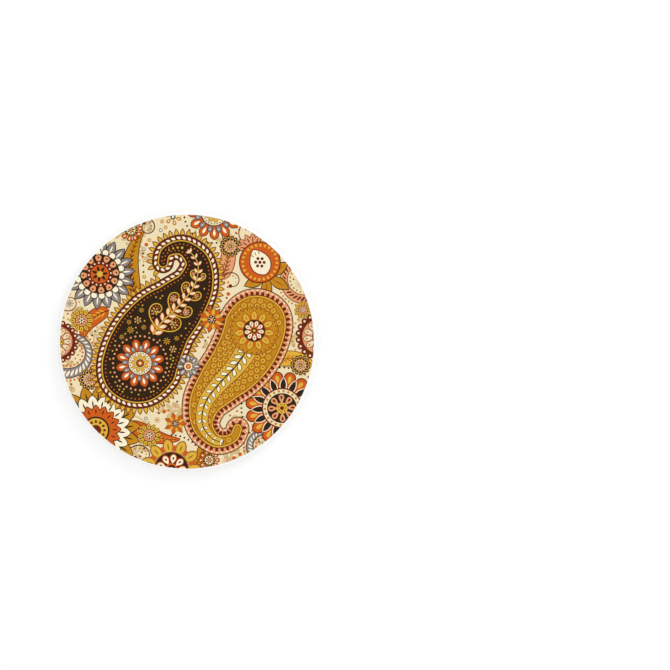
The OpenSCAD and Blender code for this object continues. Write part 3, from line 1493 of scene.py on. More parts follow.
@dataclass(frozen=True)
class Fillers(Motif):
    """Small flowers and dots strewn over the ground that nothing else has taken."""

    seed: int
    sizes: tuple[tuple[float, tuple[tuple[Row, ...], ...]], ...]
    gap: float = 0.42
    room: Outline | None = None
    tries: int = 9000

    def lay(self, board: Board) -> None:
        """Packs the largest kind first, wherever it fits, and then the next.

        Args:
            board: the board.
        """
        draw = np.random.default_rng(self.seed)
        places = draw.uniform(-board.radius, board.radius, (self.tries, 2))
        places = places[np.hypot(*places.T) < board.radius]
        free = np.full(len(places), np.inf)
        if self.room is not None:
            places = places[inside(places, self.room)]
            free = self.away(places, self.room)
        for outline in board.taken:
            halfway = outline + (np.roll(outline, -1, 0) - outline) * 0.5
            away = self.away(places, np.vstack([outline, halfway]))
            free = np.minimum(free, np.where(inside(places, outline), -1.0, away))
        for radius, kinds in self.sizes:
            for number, place in enumerate(places):
                if free[number] < radius + self.gap:
                    continue
                rows = kinds[int(draw.integers(len(kinds)))]
                Rosette(place, radius, rows, float(draw.uniform(0, 360))).lay(board)
                free = np.minimum(free, np.hypot(*(places - place).T) - radius)

    @staticmethod
    def away(places: np.ndarray, points: np.ndarray) -> np.ndarray:
        """Returns how far each place is from the nearest of some points."""
        return np.linalg.norm(places[:, None] - points[None], axis=2).min(1)


@dataclass(frozen=True)
class Design:
    """A whole print: the pale scrolls of its ground, and the motifs over them, the lowest first."""

    scrolls: tuple[Motif, ...]
    motifs: tuple[Motif, ...]

    def lay(self, board: Board) -> None:
        """Lays the scrolls, then what goes under the motifs, and then the motifs.

        Args:
            board: the board.
        """
        for scroll in self.scrolls:
            scroll.lay(board)
        for motif in self.motifs:
            motif.ground(board)
        for motif in self.motifs:
            motif.lay(board)


SCROLLS = tuple(PaleScroll(curl(*place, tighten=1.3)) for place in (
    ((-44, 12), -30, 26, -210), ((-14, 46), -150, 24, 190), ((34, 44), 200, 30, 160),
    ((8, -4), 60, 24, -170), ((44, 14), -80, 26, 150), ((-30, -18), 100, 26, 200),
    ((22, -44), 30, 24, 180), ((-24, -44), 10, 24, 170), ((0, 24), -20, 22, -160),
    ((-2, -26), 200, 20, -190), ((-44, -8), 200, 22, 180), ((14, 38), 90, 20, 200),
    ((-22, 30), 60, 20, 190), ((40, 2), -20, 20, -200), ((-30, -6), 160, 20, -190),
    ((16, -46), 60, 16, 190),
))
PLUMES = (
    Plume(curl((-19.5, 17), 112, 27, -64, 1.2), 6.4),
    Plume(curl((13, 24), 62, 21, 62, 1.2), 5.4, SALMON, MAROON, BROWN),
    Plume(curl((33.5, -8), 24, 17, -70, 1.2), 5.4, MUSTARD, BROWN, ORANGE),
    Plume(curl((-22, -31), -38, 21, 44, 1.2), 5.6, ORANGE, MAROON, MUSTARD),
    Plume(curl((-30, 12), 196, 17, 76, 1.2), 5.4, ORANGE, MAROON, MUSTARD),
    Plume(curl((8, -37), -104, 13, -30, 1.2), 4.6),
)
RIBBONS = (
    Ribbon(curl((-49, -12), -8, 30, 235, 1.3), 3.6, 1.5),
    Ribbon(curl((49, 17), 200, 34, -265, 1.15), 3.4, 1.4, SALMON, MAROON, MAROON, OCHRE),
    Ribbon(curl((31, -46), 178, 24, -255, 1.2), 3.0, 1.3),
)
TENDRILS = (
    Tendril(curl((-14, 47), -40, 13, -290, 1.2), MAROON, GREY),
    Tendril(curl((21, 45), -120, 17, 300, 1.4), BROWN, ORANGE),
    Tendril(curl((13, 22), 80, 16, -290, 1.4), MAROON, OCHRE),
    Tendril(curl((-47, 12), -10, 13, 290, 1.3), BROWN, ORANGE),
    Tendril(curl((-22, -41), 30, 18, -290, 1.4), MAROON, OCHRE),
)
SMALL_WHEELS = (
    Rosette((-21.5, 43.0), 4.6, EMBER_WHEEL, 8.0),
    Rosette((16.6, 36.6), 4.4, NIGHT_WHEEL),
    Rosette((-40.5, 8.2), 4.8, HARVEST_WHEEL),
    Rosette((43.6, -9.0), 4.2, NIGHT_WHEEL, 12.0),
    Rosette((-37.5, -14.5), 4.4, NIGHT_WHEEL, 5.0),
    Rosette((-14.5, -36.0), 4.8, HARVEST_WHEEL, 4.0),
    Rosette((8.5, -45.5), 4.2, EMBER_WHEEL),
    Rosette((44.6, 12.2), 3.6, HARVEST_WHEEL),
)
LARGE_MOTIFS = (
    Lotus((-35, -34), 17.0, 46.0),
    Rosette((-33.5, 26.0), 14.0, GREY_WHEEL, 5.0),
    Rosette((36.5, -25.5), 14.5, SUN_WHEEL, 3.0, BARK),
    Rosette((-50.0, 0.0), 8.5, LACE_WHEEL, 0.0, OCHRE),
    Rosette((51.0, 2.0), 9.5, LACE_WHEEL, 9.0, OCHRE),
    Rosette((10.5, 49.5), 10.5, LOTUS_WHEEL, 0.0, BARK),
    Rosette((-6.0, -49.0), 12.0, SHIELD_WHEEL, 0.0, MAROON),
    Fruit((28.0, 30.5), 7.6, 118.0),
)
GOLD_SPINE = (
    (27, 17.5), (26.5, 7.5), (24, -1), (19, -9), (12.5, -16), (7, -23.5), (6, -32), (11, -38),
    (17.5, -37), (20, -32),
)
NIGHT_SPINE = (
    (-20, -23), (-19, -12.5), (-16, -2.5), (-10.5, 6.5), (-3, 14), (3, 22), (4, 30.5), (-1.5, 36),
    (-8, 34.5), (-9.5, 29),
)
DROPS = (GoldDrop(GOLD_SPINE, 11.5, 1.5), NightDrop(NIGHT_SPINE, 14.0, 1.5))
TOP_FLOWERS = (
    Rosette((9.5, 8.5), 5.4, STAR_FLOWER),
    Rosette((0.5, -9.5), 4.6, DUSK_FLOWER),
    Rosette((-45.1, 14.7), 1.7, GREY_DAISY),
    Rosette((-4.5, -31.5), 4.6, STAR_FLOWER),
)
GROUND_FILLERS = Fillers(7, (
    (3.3, (DARK_DAISY, MAROON_DAISY, GREY_DAISY, OCHRE_DAISY)),
    (2.5, (SPARK, MAROON_DAISY, SALMON_FLOWER, STAR_FLOWER, GREY_DAISY)),
    (1.8, (GREY_DAISY, SPARK, DARK_DAISY, OCHRE_DAISY)),
    (1.25, (SPARK, OCHRE_DAISY)),
    (0.75, (OCHRE_RING, ORANGE_DOT, GREY_RING)),
    (0.42, (MAROON_DOT, ORANGE_DOT)),
))
COASTER_PRINT = Design(SCROLLS, (
    *PLUMES, *RIBBONS, *TENDRILS, *SMALL_WHEELS, *LARGE_MOTIFS, *DROPS, *TOP_FLOWERS, GROUND_FILLERS,
))


class Finish:
    """A surface finish that makes its own material."""

    name: str

    def material(self) -> bpy.types.Material:
        """Makes the material.

        Returns:
            The material.
        """
        made = bpy.data.materials.new(self.name)
        self.wire(Tree.of(made))
        return made

    def wire(self, tree: Tree) -> None:
        """Adds the finish's nodes to a tree."""
        raise NotImplementedError


@dataclass(frozen=True)
class PrintFinish(Finish):
    """Satin ink under a thin clear film, with the mottle of a printed ground."""

    name: str = "printed_ink"
    grain: float = 0.34
    cloud: float = 5.0
    relief: float = 0.004

    def wire(self, tree: Tree) -> None:
        """Takes the ink from the piece and mottles it.

        Args:
            tree: the material's tree.
        """
        ink = tree.out("ShaderNodeAttribute", attribute_name="ink")
        fine = tree.noise(tree.place, self.grain, detail=3.0, roughness=0.65)
        broad = tree.noise(tree.place, self.cloud)
        tree.surface({
            "Base Color": tree.shade(tree.shade(ink, fine, 0.90, 1.10), broad, 0.97, 1.03),
            "Roughness": tree.spread(broad, 0.2, 0.8, 0.40, 0.50),
            "Specular IOR Level": 0.10,
            "Normal": tree.bump(fine, self.relief),
        })


@dataclass(frozen=True)
class CoatingFinish(Finish):
    """A glossy white coating that follows the ceramic under it in soft waves."""

    name: str = "white_coating"
    wave: float = 2.6
    dust: float = 0.5
    cloud: float = 9.0
    relief: float = 0.03

    def wire(self, tree: Tree) -> None:
        """Adds a near white with a faint cast and an orange-peel relief.

        Args:
            tree: the material's tree.
        """
        waves = tree.noise(tree.place, self.wave, detail=1.0)
        dust = tree.noise(tree.place, self.dust, detail=3.0, roughness=0.6)
        tree.surface({
            "Base Color": tree.shade(rgb(253, 253, 251), tree.noise(tree.place, self.cloud), 0.98, 1.0),
            "Roughness": tree.spread(dust, 0.3, 0.8, 0.16, 0.26),
            "Specular IOR Level": 0.5,
            "Coat Weight": 0.35,
            "Coat Roughness": 0.08,
            "Normal": tree.bump(tree.math("MULTIPLY_ADD", dust, 0.12, waves), self.relief),
        })


@dataclass(frozen=True)
class CeramicFinish(Finish):
    """Bare cream ceramic: matt, faintly mottled, with pinholes and fine iron specks."""

    name: str = "bare_ceramic"
    cloud: float = 3.2
    speck: float = 1.7
    grain: float = 0.22
    relief: float = 0.022

    def wire(self, tree: Tree) -> None:
        """Adds the cream, its mottle, the specks and the pinholes.

        Args:
            tree: the material's tree.
        """
        mottle = tree.noise(tree.place, self.cloud, detail=4.0, roughness=0.6)
        body = tree.shade(rgb(255, 250, 240), mottle, 0.97, 1.005)
        cells = tree.cells(tree.place, self.speck)
        rare = tree.math("GREATER_THAN", tree.lots(cells)[0], 0.9)
        speck = tree.times(rare, tree.spread(cells[0], 0.04, 0.11, 1.0, 0.0))
        grain = tree.noise(tree.place, self.grain, detail=3.0, roughness=0.7)
        tree.surface({
            "Base Color": tree.mix(tree.times(speck, 0.35), body, rgb(150, 118, 84)),
            "Roughness": tree.spread(grain, 0.3, 0.7, 0.66, 0.84),
            "Normal": tree.bump(tree.math("SUBTRACT", grain, speck), self.relief),
        })


@dataclass(frozen=True)
class CorkGrain:
    """The grain of pressed cork, the same for its shape and for its finish."""

    granule: float = 0.47
    drift: float = 0.45
    drift_size: float = 0.8
    bark: float = 0.40
    fibre: float = 0.16

    def relief(self, tree: Tree, place: Socket) -> Sockets:
        """Pushes a place about a little, so that granules aren't straight-sided, and adds the relief.

        Args:
            tree: the shape's tree or the finish's.
            place: the position, in metres.

        Returns:
            The pushed place, and three shares from 0 to 1: the seams between granules, the holes of
            bark, and the fibre.
        """
        inputs = {"Vector": place, "Scale": 1 / (self.drift_size * MM), "Detail": 2.0}
        drift = tree.add("ShaderNodeTexNoise", inputs).outputs[1]
        inputs = {0: drift, 1: (self.drift * MM,) * 3, 2: place}
        spot = tree.out("ShaderNodeVectorMath", inputs, operation="MULTIPLY_ADD")
        edges = tree.cells(spot, self.granule, "DISTANCE_TO_EDGE")[0]
        seam = tree.spread(edges, 0.0, 0.09, 1.0, 0.0)
        bark = tree.spread(tree.noise(spot, self.bark, roughness=0.6), 0.59, 0.66)
        return spot, seam, bark, tree.noise(spot, self.fibre, detail=3.0, roughness=0.7)


@dataclass(frozen=True)
class CorkFinish(Finish):
    """Pressed cork: granules of many browns, light flecks, dark bark specks and open seams darkened with
    painted shade.
    """

    name: str = "pressed_cork"
    grain: CorkGrain = CorkGrain()
    small: float = 0.42
    fleck: float = 1.4
    relief: float = 0.05
    tones: tuple[tuple[float, Colour], ...] = (
        (0.00, rgb(94, 42, 14)),
        (0.12, rgb(156, 76, 28)),
        (0.28, rgb(200, 116, 56)),
        (0.46, rgb(224, 144, 80)),
        (0.62, rgb(238, 162, 98)),
        (0.80, rgb(250, 186, 128)),
        (1.00, rgb(255, 214, 170)),
    )

    def wire(self, tree: Tree) -> None:
        """Adds the granules' colours, the painted shade in their seams and their relief.

        Args:
            tree: the material's tree.
        """
        spot, seam, bark, fibre = self.grain.relief(tree, tree.place)
        colour = self.flecks(tree, spot, fibre, self.granules(tree, spot, fibre))
        # The open seams between granules are darkened towards brown: painted shade in their gaps.
        colour = tree.mix(tree.times(seam, 0.30), colour, rgb(128, 76, 40))
        colour = tree.mix(tree.times(bark, 0.72), colour, rgb(96, 50, 26))
        sunk = tree.math("ADD", tree.times(fibre, 0.6), tree.math("ADD", seam, bark))
        tree.surface({
            "Base Color": colour,
            "Roughness": tree.spread(fibre, 0.3, 0.7, 0.74, 0.92),
            "Specular IOR Level": 0.3,
            "Normal": tree.bump(tree.times(sunk, -1.0), self.relief),
        })

    def granules(self, tree: Tree, spot: Socket, fibre: Socket) -> Socket:
        """Gives each granule, large or small, a tone of its own.

        Args:
            tree: the material's tree.
            spot: the pushed place.
            fibre: the cork's fibre.

        Returns:
            The colour.
        """
        granule = self.grain.granule
        large = tree.lots(tree.cells(spot, granule))
        small = tree.lots(tree.cells(spot, self.small * granule))
        tone = tree.math("ADD", tree.times(large[0], 0.72), tree.times(small[0], 0.60))
        streak = tree.math("SUBTRACT", fibre, 0.5)
        tone = tree.math("MULTIPLY_ADD", streak, -0.9, tree.math("SUBTRACT", tone, 0.08))
        ramp = tree.add("ShaderNodeValToRGB", {0: tone})
        while len(ramp.color_ramp.elements) < len(self.tones):
            ramp.color_ramp.elements.new(0.5)
        for element, (share, colour) in zip(ramp.color_ramp.elements, self.tones):
            element.position = share
            element.color = colour
        redder = tree.spread(large[1], 0.55, 1.0, 0.0, 0.42)
        duller = tree.spread(small[1], 0.40, 0.0, 0.0, 0.40)
        colour = tree.mix(redder, ramp.outputs[0], rgb(222, 134, 92))
        return tree.mix(duller, colour, rgb(208, 170, 112))

    def flecks(self, tree: Tree, spot: Socket, fibre: Socket, colour: Socket) -> Socket:
        """Strews light flecks and dark specks of bark.

        Args:
            tree: the material's tree.
            spot: the pushed place.
            fibre: the cork's fibre, which frays their edges.
            colour: what they are strewn on.

        Returns:
            The colour with them.
        """
        cells = tree.cells(spot, self.fleck)
        lots = tree.lots(cells)
        away = tree.math("MULTIPLY_ADD", fibre, 0.7, cells[0])
        kinds = ((lots[0], 0.93, 0.76, rgb(255, 228, 184)), (lots[1], 0.94, 0.68, rgb(70, 30, 14)))
        for lot, share, reach, tint in kinds:
            rare = tree.math("GREATER_THAN", lot, share)
            fleck = tree.times(rare, tree.spread(away, reach - 0.14, reach, 0.85, 0.0))
            colour = tree.mix(fleck, colour, tint)
        return colour


@dataclass(frozen=True)
class FilmFinish(Finish):
    """The pale amber film of a contact adhesive."""

    name: str = "adhesive_film"
    streak: float = 1.6
    stretch: tuple[float, float, float] = (1.0, 0.25, 1.0)
    relief: float = 0.02

    def wire(self, tree: Tree) -> None:
        """Adds the film's colour, streaked as it was spread.

        Args:
            tree: the material's tree.
        """
        long = tree.out("ShaderNodeMapping", {"Vector": tree.place, "Scale": self.stretch})
        streaks = tree.noise(long, self.streak, detail=3.0, roughness=0.6)
        tree.surface({
            "Base Color": tree.shade(rgb(233, 223, 196), streaks, 0.9, 1.03),
            "Roughness": tree.spread(streaks, 0.2, 0.8, 0.3, 0.5),
            "Normal": tree.bump(streaks, self.relief),
        })


class TurnedTree(ShapeTree):
    """Turns a half section about Z into a closed, slightly uneven body.

    The section lies in X and Z and runs so that the body's outside is on its right. Its vertices
    carry a weight named sway, which says how far each follows a wavy edge.
    """

    SIZES = {"Segments": int, "Unevenness": float, "Patch": float, "Sway": float, "Sway length": float}
    TOUCH = 1e-6

    def __init__(self, name: str, material: bpy.types.Material) -> None:
        """Wires the tree.

        Args:
            name: the tree's name.
            material: what its body takes.
        """
        super().__init__(name, self.SIZES)
        body = self.spun()
        patches = self.patches(self.own("Position"), self.inputs["Patch"])
        self.end(self.sink(body, self.times(patches, self.inputs["Unevenness"])), material)

    def spun(self) -> Socket:
        """Spins the section: one row of a grid for each vertex of it, one column for each segment.

        Returns:
            The closed body, with its wavy edge.
        """
        sizes = self.inputs
        count = self.out("GeometryNodeAttributeDomainSize", {0: sizes["Geometry"]})
        columns = self.math("ADD", sizes["Segments"], 1.0)
        inputs = {"Size X": 1.0, "Size Y": 1.0, "Vertices X": columns, "Vertices Y": count}
        grid = self.out("GeometryNodeMeshGrid", inputs)
        index = self.own("Index")
        turn = self.math("FLOOR", self.math("DIVIDE", self.math("ADD", index, 0.5), count))
        step = self.math("SUBTRACT", index, self.times(turn, count))
        angle = self.times(self.math("DIVIDE", turn, sizes["Segments"]), FULL_TURN)
        radius, _, level = self.split(self.sample(self.own("Position"), step, "FLOAT_VECTOR"))
        x, y = (self.times(radius, self.math(way, angle)) for way in ("COSINE", "SINE"))
        weight = self.sample(self.weight("sway"), step, "FLOAT")
        wave = self.times(self.patches(self.join(x, y), sizes["Sway length"]), weight)
        height = self.math("MULTIPLY_ADD", wave, sizes["Sway"], level)
        body = self.move(grid, Position=self.join(x, y, height))
        return self.out("GeometryNodeMergeByDistance", {0: body, "Distance": self.TOUCH})

    def sample(self, value: Socket, index: Socket, kind: str) -> Socket:
        """Returns what the section's vertex of this index has for a value of this data type."""
        inputs = {"Geometry": self.inputs["Geometry"], "Value": value, "Index": index}
        return self.out("GeometryNodeSampleIndex", inputs, data_type=kind)

    def patches(self, vector: Socket, size: Socket) -> Socket:
        """Returns a noise from 0 to 1 whose patches have this size."""
        inputs = {"Vector": vector, "Scale": self.math("DIVIDE", 1.0, size), "Detail": 3.0, "Roughness": 0.55}
        return self.out("ShaderNodeTexNoise", inputs)


def section_mesh(points: Corners) -> bpy.types.Mesh:
    """Makes a half section a mesh of edges.

    Args:
        points: each with its radius and height in millimetres and its sway.

    Returns:
        The mesh, in metres.
    """
    mesh = line_mesh([(radius * MM, 0.0, height * MM) for radius, height, _ in points])
    sway = mesh.attributes.new("sway", "FLOAT", "POINT")
    sway.data.foreach_set("value", [weight for _, _, weight in points])
    return mesh


def straight(start: Point, end: Point, steps: int) -> Corners:
    """Returns the points of a straight stretch of a section, without its end."""
    way = end[0] - start[0], end[1] - start[1]
    return [(start[0] + way[0] * s, start[1] + way[1] * s, 0.0) for s in np.arange(steps) / steps]


def rounded(centre: Point, radius: float, first: float, last: float, steps: int = 10) -> Corners:
    """Returns the points of a round stretch of a section, from one angle to another in degrees."""
    angles = np.radians(np.linspace(first, last, steps + 1))
    return [(centre[0] + radius * math.cos(a), centre[1] + radius * math.sin(a), 0.0) for a in angles]


@dataclass
class Part:
    """One sub-assembly of the coaster, which builds its piece and dresses it."""

    name: str
    node: str
    slot: str
    finish: Finish
    sharp: float = 40.0

    @cached_property
    def layer(self) -> Layer:
        """Where the piece lies."""
        return Layer.of(self.node)

    @cached_property
    def material(self) -> bpy.types.Material:
        """What the piece is dressed in."""
        return self.finish.material()

    def mesh(self) -> bpy.types.Mesh:
        """Builds the piece's mesh, in metres."""
        raise NotImplementedError

    def build(self) -> bpy.types.Object:
        """Builds the piece in place of its CAD node.

        Returns:
            The piece.
        """
        mesh = self.mesh()
        mesh.name = self.name
        mesh.shade_smooth()
        mesh.set_sharp_from_angle(angle=math.radians(self.sharp))
        piece = put(self.name, mesh)
        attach(piece, BODY)
        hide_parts(self.node)
        return piece


@dataclass
class TurnedPart(Part):
    """A piece that is turned from a half section, with a slightly uneven skin."""

    segments: int = 640
    unevenness: float = 0.045
    patch: float = 1.7
    sway: float = 0.0
    sway_length: float = 9.0
    past_bend: float = 0.3

    def section(self) -> Corners:
        """Draws the piece's half section."""
        raise NotImplementedError

    def mesh(self) -> bpy.types.Mesh:
        """Turns the section.

        Returns:
            The mesh, in metres.
        """
        lengths = (self.unevenness, self.patch, self.sway, self.sway_length)
        sizes = dict(zip(TurnedTree.SIZES, (self.segments, *(length * MM for length in lengths))))
        return TurnedTree(self.name, self.material).run(section_mesh(self.section()), sizes)


@dataclass
class PressedDisc(TurnedPart):
    """The ceramic disc, with its rounded heel and shoulder and a slightly uneven skin."""

    name: str = "pressed_disc"
    node: str = "ceramic_disc"
    slot: str = "bare_ceramic"
    finish: Finish = CeramicFinish()
    heel: float = 0.7
    shoulder: float = 1.05
    hidden: float = 44.0

    def section(self) -> Corners:
        """Draws the section, finest where the disc shows.

        Returns:
            The section, from the middle of the underside to the middle of the top.
        """
        r, low, high = self.layer.radius, self.layer.low, self.layer.high
        edge, top = r - self.heel, high - self.shoulder
        return [
            *straight((0.0, low), (self.hidden, low), 6),
            *straight((self.hidden, low), (edge, low), 14),
            *rounded((edge, low + self.heel), self.heel, -90, 0),
            *straight((r, low + self.heel + self.past_bend), (r, top), 8),
            *rounded((r - self.shoulder, top), self.shoulder, 0, 90),
            (self.hidden, high, 0.0),
            (0.0, high, 0.0),
        ]


@dataclass
class CoatingShell(TurnedPart):
    """The white coating: a thin shell over the top, shoulder and side, with a wavy lower edge."""

    name: str = "coating_shell"
    node: str = "white_coating"
    slot: str = "white_coating"
    finish: Finish = CoatingFinish()
    unevenness: float = 0.03
    patch: float = 7.0
    sway: float = 0.42
    sway_reach: float = 1.2
    shoulder: float = 1.2
    clearance: float = 0.01
    hidden: float = 46.0

    def section(self) -> Corners:
        """Draws the section: along the inside, round the lower edge and back over the outside.

        Returns:
            The section, whose points near the lower edge sway with it.
        """
        ceramic = Layer.of("ceramic_disc")
        inner, under = ceramic.radius + self.clearance, ceramic.high + self.clearance
        r, low, high = self.layer.radius, self.layer.low, self.layer.high
        bend = self.shoulder - (r - inner)
        lip = (r - inner) / 2
        shape = [
            (0.0, under, 0.0),
            (self.hidden, under, 0.0),
            *rounded((inner - bend, under - bend), bend, 90, 0, 6),
            *straight((inner, under - bend - self.past_bend), (inner, low + lip), 5),
            *rounded(((inner + r) / 2, low + lip), lip, 180, 360, 6),
            *straight((r, low + 2 * lip), (r, high - self.shoulder), 10),
            *rounded((r - self.shoulder, high - self.shoulder), self.shoulder, 0, 90, 16),
            (self.hidden, high, 0.0),
            (0.0, high, 0.0),
        ]
        reach, fade = low + self.sway_reach, self.sway_reach - 2 * lip
        return [(x, z, max(0.0, min(1.0, (reach - z) / fade))) for x, z, _ in shape]


def rim_of(faces: np.ndarray) -> tuple[list[int], list[int]]:
    """Follows the rim of a flat mesh of triangles.

    Args:
        faces: the triangles, as three indices each.

    Returns:
        The rim's corners in order, and the triangle beside the edge from each one to the next.
    """
    base = [int(faces.max()) + 1, 1]
    edges = faces[:, [0, 1, 1, 2, 2, 0]].reshape(-1, 2)
    alone = np.flatnonzero(~np.isin(edges @ base, edges[:, ::-1] @ base))
    after = {int(edges[i, 0]): (int(edges[i, 1]), int(i) // 3) for i in alone}
    loop = [int(edges[alone[0], 0])]
    while after[loop[-1]][0] != loop[0]:
        loop.append(after[loop[-1]][0])
    return loop, [after[corner][1] for corner in loop]


@dataclass
class PrintedSheet(Part):
    """The printed layer: a thin sheet whose face is divided into the inks of the design."""

    name: str = "printed_sheet"
    node: str = "printed_layer"
    slot: str = "print"
    finish: Finish = PrintFinish()
    design: Design = COASTER_PRINT

    def mesh(self) -> bpy.types.Mesh:
        """Lays the design out, raises it to the sheet's top and closes the sheet below it.

        Returns:
            The mesh, in metres, with each face's ink in its attribute.
        """
        board = Board(self.layer.radius, RingTree(self.material), TrailTree(self.material))
        self.design.lay(board)
        points, faces, inks = board.merge()
        loop, beside = rim_of(faces)
        below = len(points) + np.arange(len(loop))
        walls = np.column_stack([below, np.roll(below, -1), np.roll(loop, -1), loop])
        tops = np.column_stack([points, np.full(len(points), self.layer.high)])
        bottoms = np.column_stack([points[loop], np.full(len(loop), self.layer.low)])
        corners = (np.vstack([tops, bottoms]) * MM).tolist()
        mesh = bpy.data.meshes.new(self.name)
        mesh.from_pydata(corners, [], [*faces.tolist(), *walls.tolist(), below[::-1].tolist()])
        painted = [ink for ink in inks for _ in range(3)]
        painted += [inks[face] for face in beside for _ in range(4)]
        painted += [CREAM] * len(loop)
        paint = mesh.color_attributes.new("ink", "FLOAT_COLOR", "CORNER")
        paint.data.foreach_set("color", np.array([ink.colour() for ink in painted], np.float32).ravel())
        mesh.materials.append(self.material)
        return mesh


class CorkTree(ShapeTree):
    """Sinks a blank's skin into pits and crumbs, by each vertex's own weight named give."""

    def __init__(self, name: str, grain: CorkGrain, material: bpy.types.Material) -> None:
        """Wires the tree.

        Args:
            name: the tree's name.
            grain: the grain that the skin sinks by.
            material: what its body takes.
        """
        super().__init__(name, {"Depth": float})
        _, seam, bark, fibre = grain.relief(self, self.own("Position"))
        sunk = self.math("ADD", self.times(fibre, 0.35), self.times(seam, 0.65))
        sunk = self.math("MINIMUM", self.math("ADD", sunk, bark), 1.0)
        sunk = self.times(self.times(sunk, self.weight("give")), self.inputs["Depth"])
        self.end(self.sink(self.inputs["Geometry"], sunk), material)


@dataclass
class CorkPad(Part):
    """The cork pad: a die-cut disc of pressed granules, pitted below and crumbly at its edge."""

    name: str = "cork_backing"
    node: str = "cork_pad"
    slot: str = "cork"
    finish: CorkFinish = CorkFinish()
    sharp: float = 70.0
    bevel: float = 0.2
    cells: int = 250
    rows: int = 5
    depth: float = 0.10
    crumble: float = 2.4

    def mesh(self) -> bpy.types.Mesh:
        """Sinks the pits of the grain into the blank, and returns the mesh in metres."""
        tree = CorkTree(self.name, self.finish.grain, self.material)
        return tree.run(self.blank(), {"Depth": self.depth * MM})

    def blank(self) -> bpy.types.Mesh:
        """Builds the smooth blank: a square grid pushed round below, and rows of quads up its side.

        Returns:
            The mesh, in metres, with each vertex's give.
        """
        layer = self.layer
        share = np.linspace(-1, 1, self.cells)
        u, v = (axis.ravel() for axis in np.meshgrid(share, share, indexing="ij"))
        under = np.column_stack([u * np.sqrt(1 - v**2 / 2), v * np.sqrt(1 - u**2 / 2)])
        number = np.arange(self.cells**2).reshape(self.cells, self.cells)
        quads = (number[:-1, :-1], number[:-1, 1:], number[1:, 1:], number[1:, :-1])
        faces = np.stack(quads, -1).reshape(-1, 4).tolist()
        flat = under * (layer.radius - self.bevel)
        places = [np.column_stack([flat, np.full(len(under), layer.low)])]
        below = np.concatenate([number[:-1, 0], number[-1, :-1], number[:0:-1, -1], number[0, :0:-1]])
        rim = under[below] * layer.radius
        for level in np.linspace(layer.low + self.bevel, layer.high, self.rows):
            above = sum(map(len, places)) + np.arange(len(rim))
            places.append(np.column_stack([rim, np.full(len(rim), level)]))
            faces += np.column_stack([below, np.roll(below, -1), np.roll(above, -1), above]).tolist()
            below = above
        faces.append(below.tolist())
        mesh = bpy.data.meshes.new("cork_blank")
        mesh.from_pydata((np.vstack(places) * MM).tolist(), [], faces)
        give = np.ones(len(mesh.vertices))
        give[len(under):] = self.crumble
        mesh.attributes.new("give", "FLOAT", "POINT").data.foreach_set("value", give)
        return mesh


@dataclass
class AdhesiveFilm:
    """The film between the cork and the ceramic: the CAD node in a finish of its own."""

    node: str = "adhesive_film"
    finish: Finish = FilmFinish()

    def build(self) -> bpy.types.Object:
        """Dresses the node.

        Returns:
            The node.
        """
        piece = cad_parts[self.node]
        for place in piece.material_slots:
            place.material = self.finish.material()
        return piece


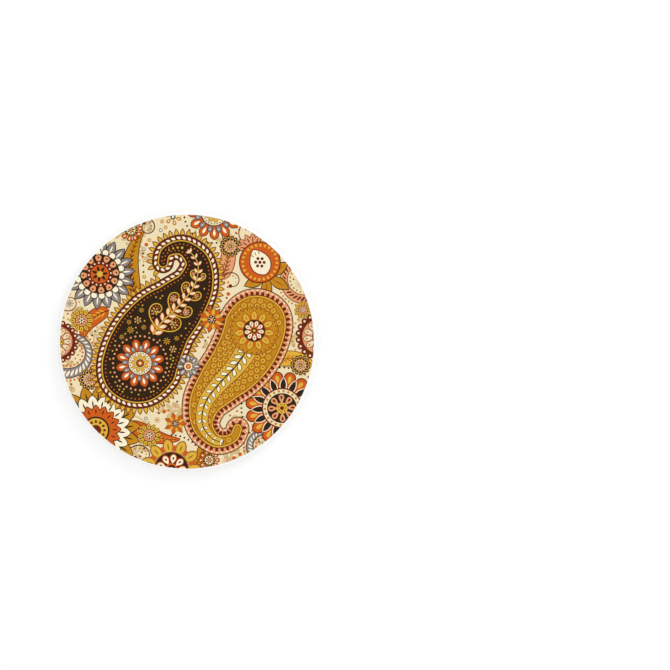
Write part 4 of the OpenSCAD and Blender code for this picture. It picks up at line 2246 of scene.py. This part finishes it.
@dataclass(frozen=True)
class Studio:
    """A plain pale floor, soft light from the upper right and a camera straight overhead.

    The level is the height, in metres, of the face that the camera is set for.
    """

    level: float
    picture: int = 670
    disc_pixel: Point = (187.0, 341.7)
    pixels_per_mm: float = 2.603
    lens: float = 100.0
    sensor: float = 36.0
    floor_size: float = 4.0
    floor_gap: float = 0.00005
    floor_tone: float = 0.86
    floor_glow: float = 0.61
    floor_lit: float = 0.42
    horizon: float = 0.83
    zenith: float = 0.87
    key: float = 0.60
    key_softness: float = 24.0
    key_tilt: float = 46.0
    key_heading: float = 45.0

    def build(self) -> None:
        """Sets up all that stands round the coaster."""
        self.floor()
        self.world()
        self.light()
        self.camera()
        bpy.context.scene.view_settings.view_transform = "Standard"

    def shown(self, tree: Tree) -> Socket:
        """Tells which rays show the background: from the camera, off a gloss or through glass.

        Args:
            tree: the tree of the floor or the world.

        Returns:
            1 for those rays and 0 for the others.
        """
        path = tree.add("ShaderNodeLightPath").outputs
        passed = tree.math("MAXIMUM", path["Is Glossy Ray"], path["Is Transmission Ray"])
        return tree.math("MAXIMUM", path["Is Camera Ray"], passed)

    def floor(self) -> None:
        """Lays the floor just under the cork."""
        half = self.floor_size / 2
        mesh = bpy.data.meshes.new("floor")
        corners = ((-half, -half), (half, -half), (half, half), (-half, half))
        mesh.from_pydata([(x, y, -self.floor_gap) for x, y in corners], [], [(0, 1, 2, 3)])
        material = bpy.data.materials.new("floor")
        tree = Tree.of(material)
        shown = self.shown(tree)
        tone = tree.spread(shown, 0.0, 1.0, self.floor_tone, self.floor_lit)
        matt = tree.out("ShaderNodeBsdfDiffuse", {"Color": tone})
        glow = tree.out("ShaderNodeEmission", {"Strength": tree.times(shown, self.floor_glow)})
        both = tree.out("ShaderNodeAddShader", {0: matt, 1: glow})
        tree.add("ShaderNodeOutputMaterial", {"Surface": both})
        mesh.materials.append(material)
        floor = put("floor", mesh)

    def world(self) -> None:
        """Sets a white background and a soft light that is a little stronger from above."""
        world = bpy.data.worlds.new("studio")
        tree = Tree.of(world)
        way = tree.split(tree.add("ShaderNodeTexCoord").outputs["Generated"])
        sky = tree.spread(way[2], 0.0, 1.0, self.horizon, self.zenith)
        strength = tree.math("MAXIMUM", sky, self.shown(tree))
        back = tree.out("ShaderNodeBackground", {"Color": (1.0, 1.0, 1.0, 1.0), "Strength": strength})
        tree.add("ShaderNodeOutputWorld", {"Surface": back})
        bpy.context.scene.world = world

    def light(self) -> None:
        """Hangs the key light."""
        lamp = bpy.data.lights.new("key", "SUN")
        lamp.energy = self.key
        lamp.angle = math.radians(self.key_softness)
        turn = (0.0, math.radians(self.key_tilt), math.radians(self.key_heading))
        put("key", lamp).rotation_euler = turn

    def camera(self) -> None:
        """Points the camera straight down, so that the disc lies where the photograph has it."""
        lens = bpy.data.cameras.new("camera")
        lens.lens = self.lens
        lens.sensor_width = self.sensor
        camera = put("camera", lens)
        pixel = MM / self.pixels_per_mm
        middle = self.picture / 2
        x, y = middle - self.disc_pixel[0], self.disc_pixel[1] - middle
        away = self.picture * pixel * self.lens / self.sensor
        camera.location = (x * pixel, y * pixel, self.level + away)
        bpy.context.scene.camera = camera


def main() -> None:
    """Builds the studio and then the coaster from the ceramic out, and reports each piece."""
    logging.basicConfig(level=logging.INFO, format="%(message)s")
    Studio(Layer.of("printed_layer").high * MM).build()
    for part in (PressedDisc(), CoatingShell(), PrintedSheet(), AdhesiveFilm(), CorkPad()):
        piece = part.build()
        log.info("%s: %d vertices, %d faces", piece.name, len(piece.data.vertices), len(piece.data.polygons))
    bpy.context.view_layer.update()


if __name__ == "__main__":
    main()
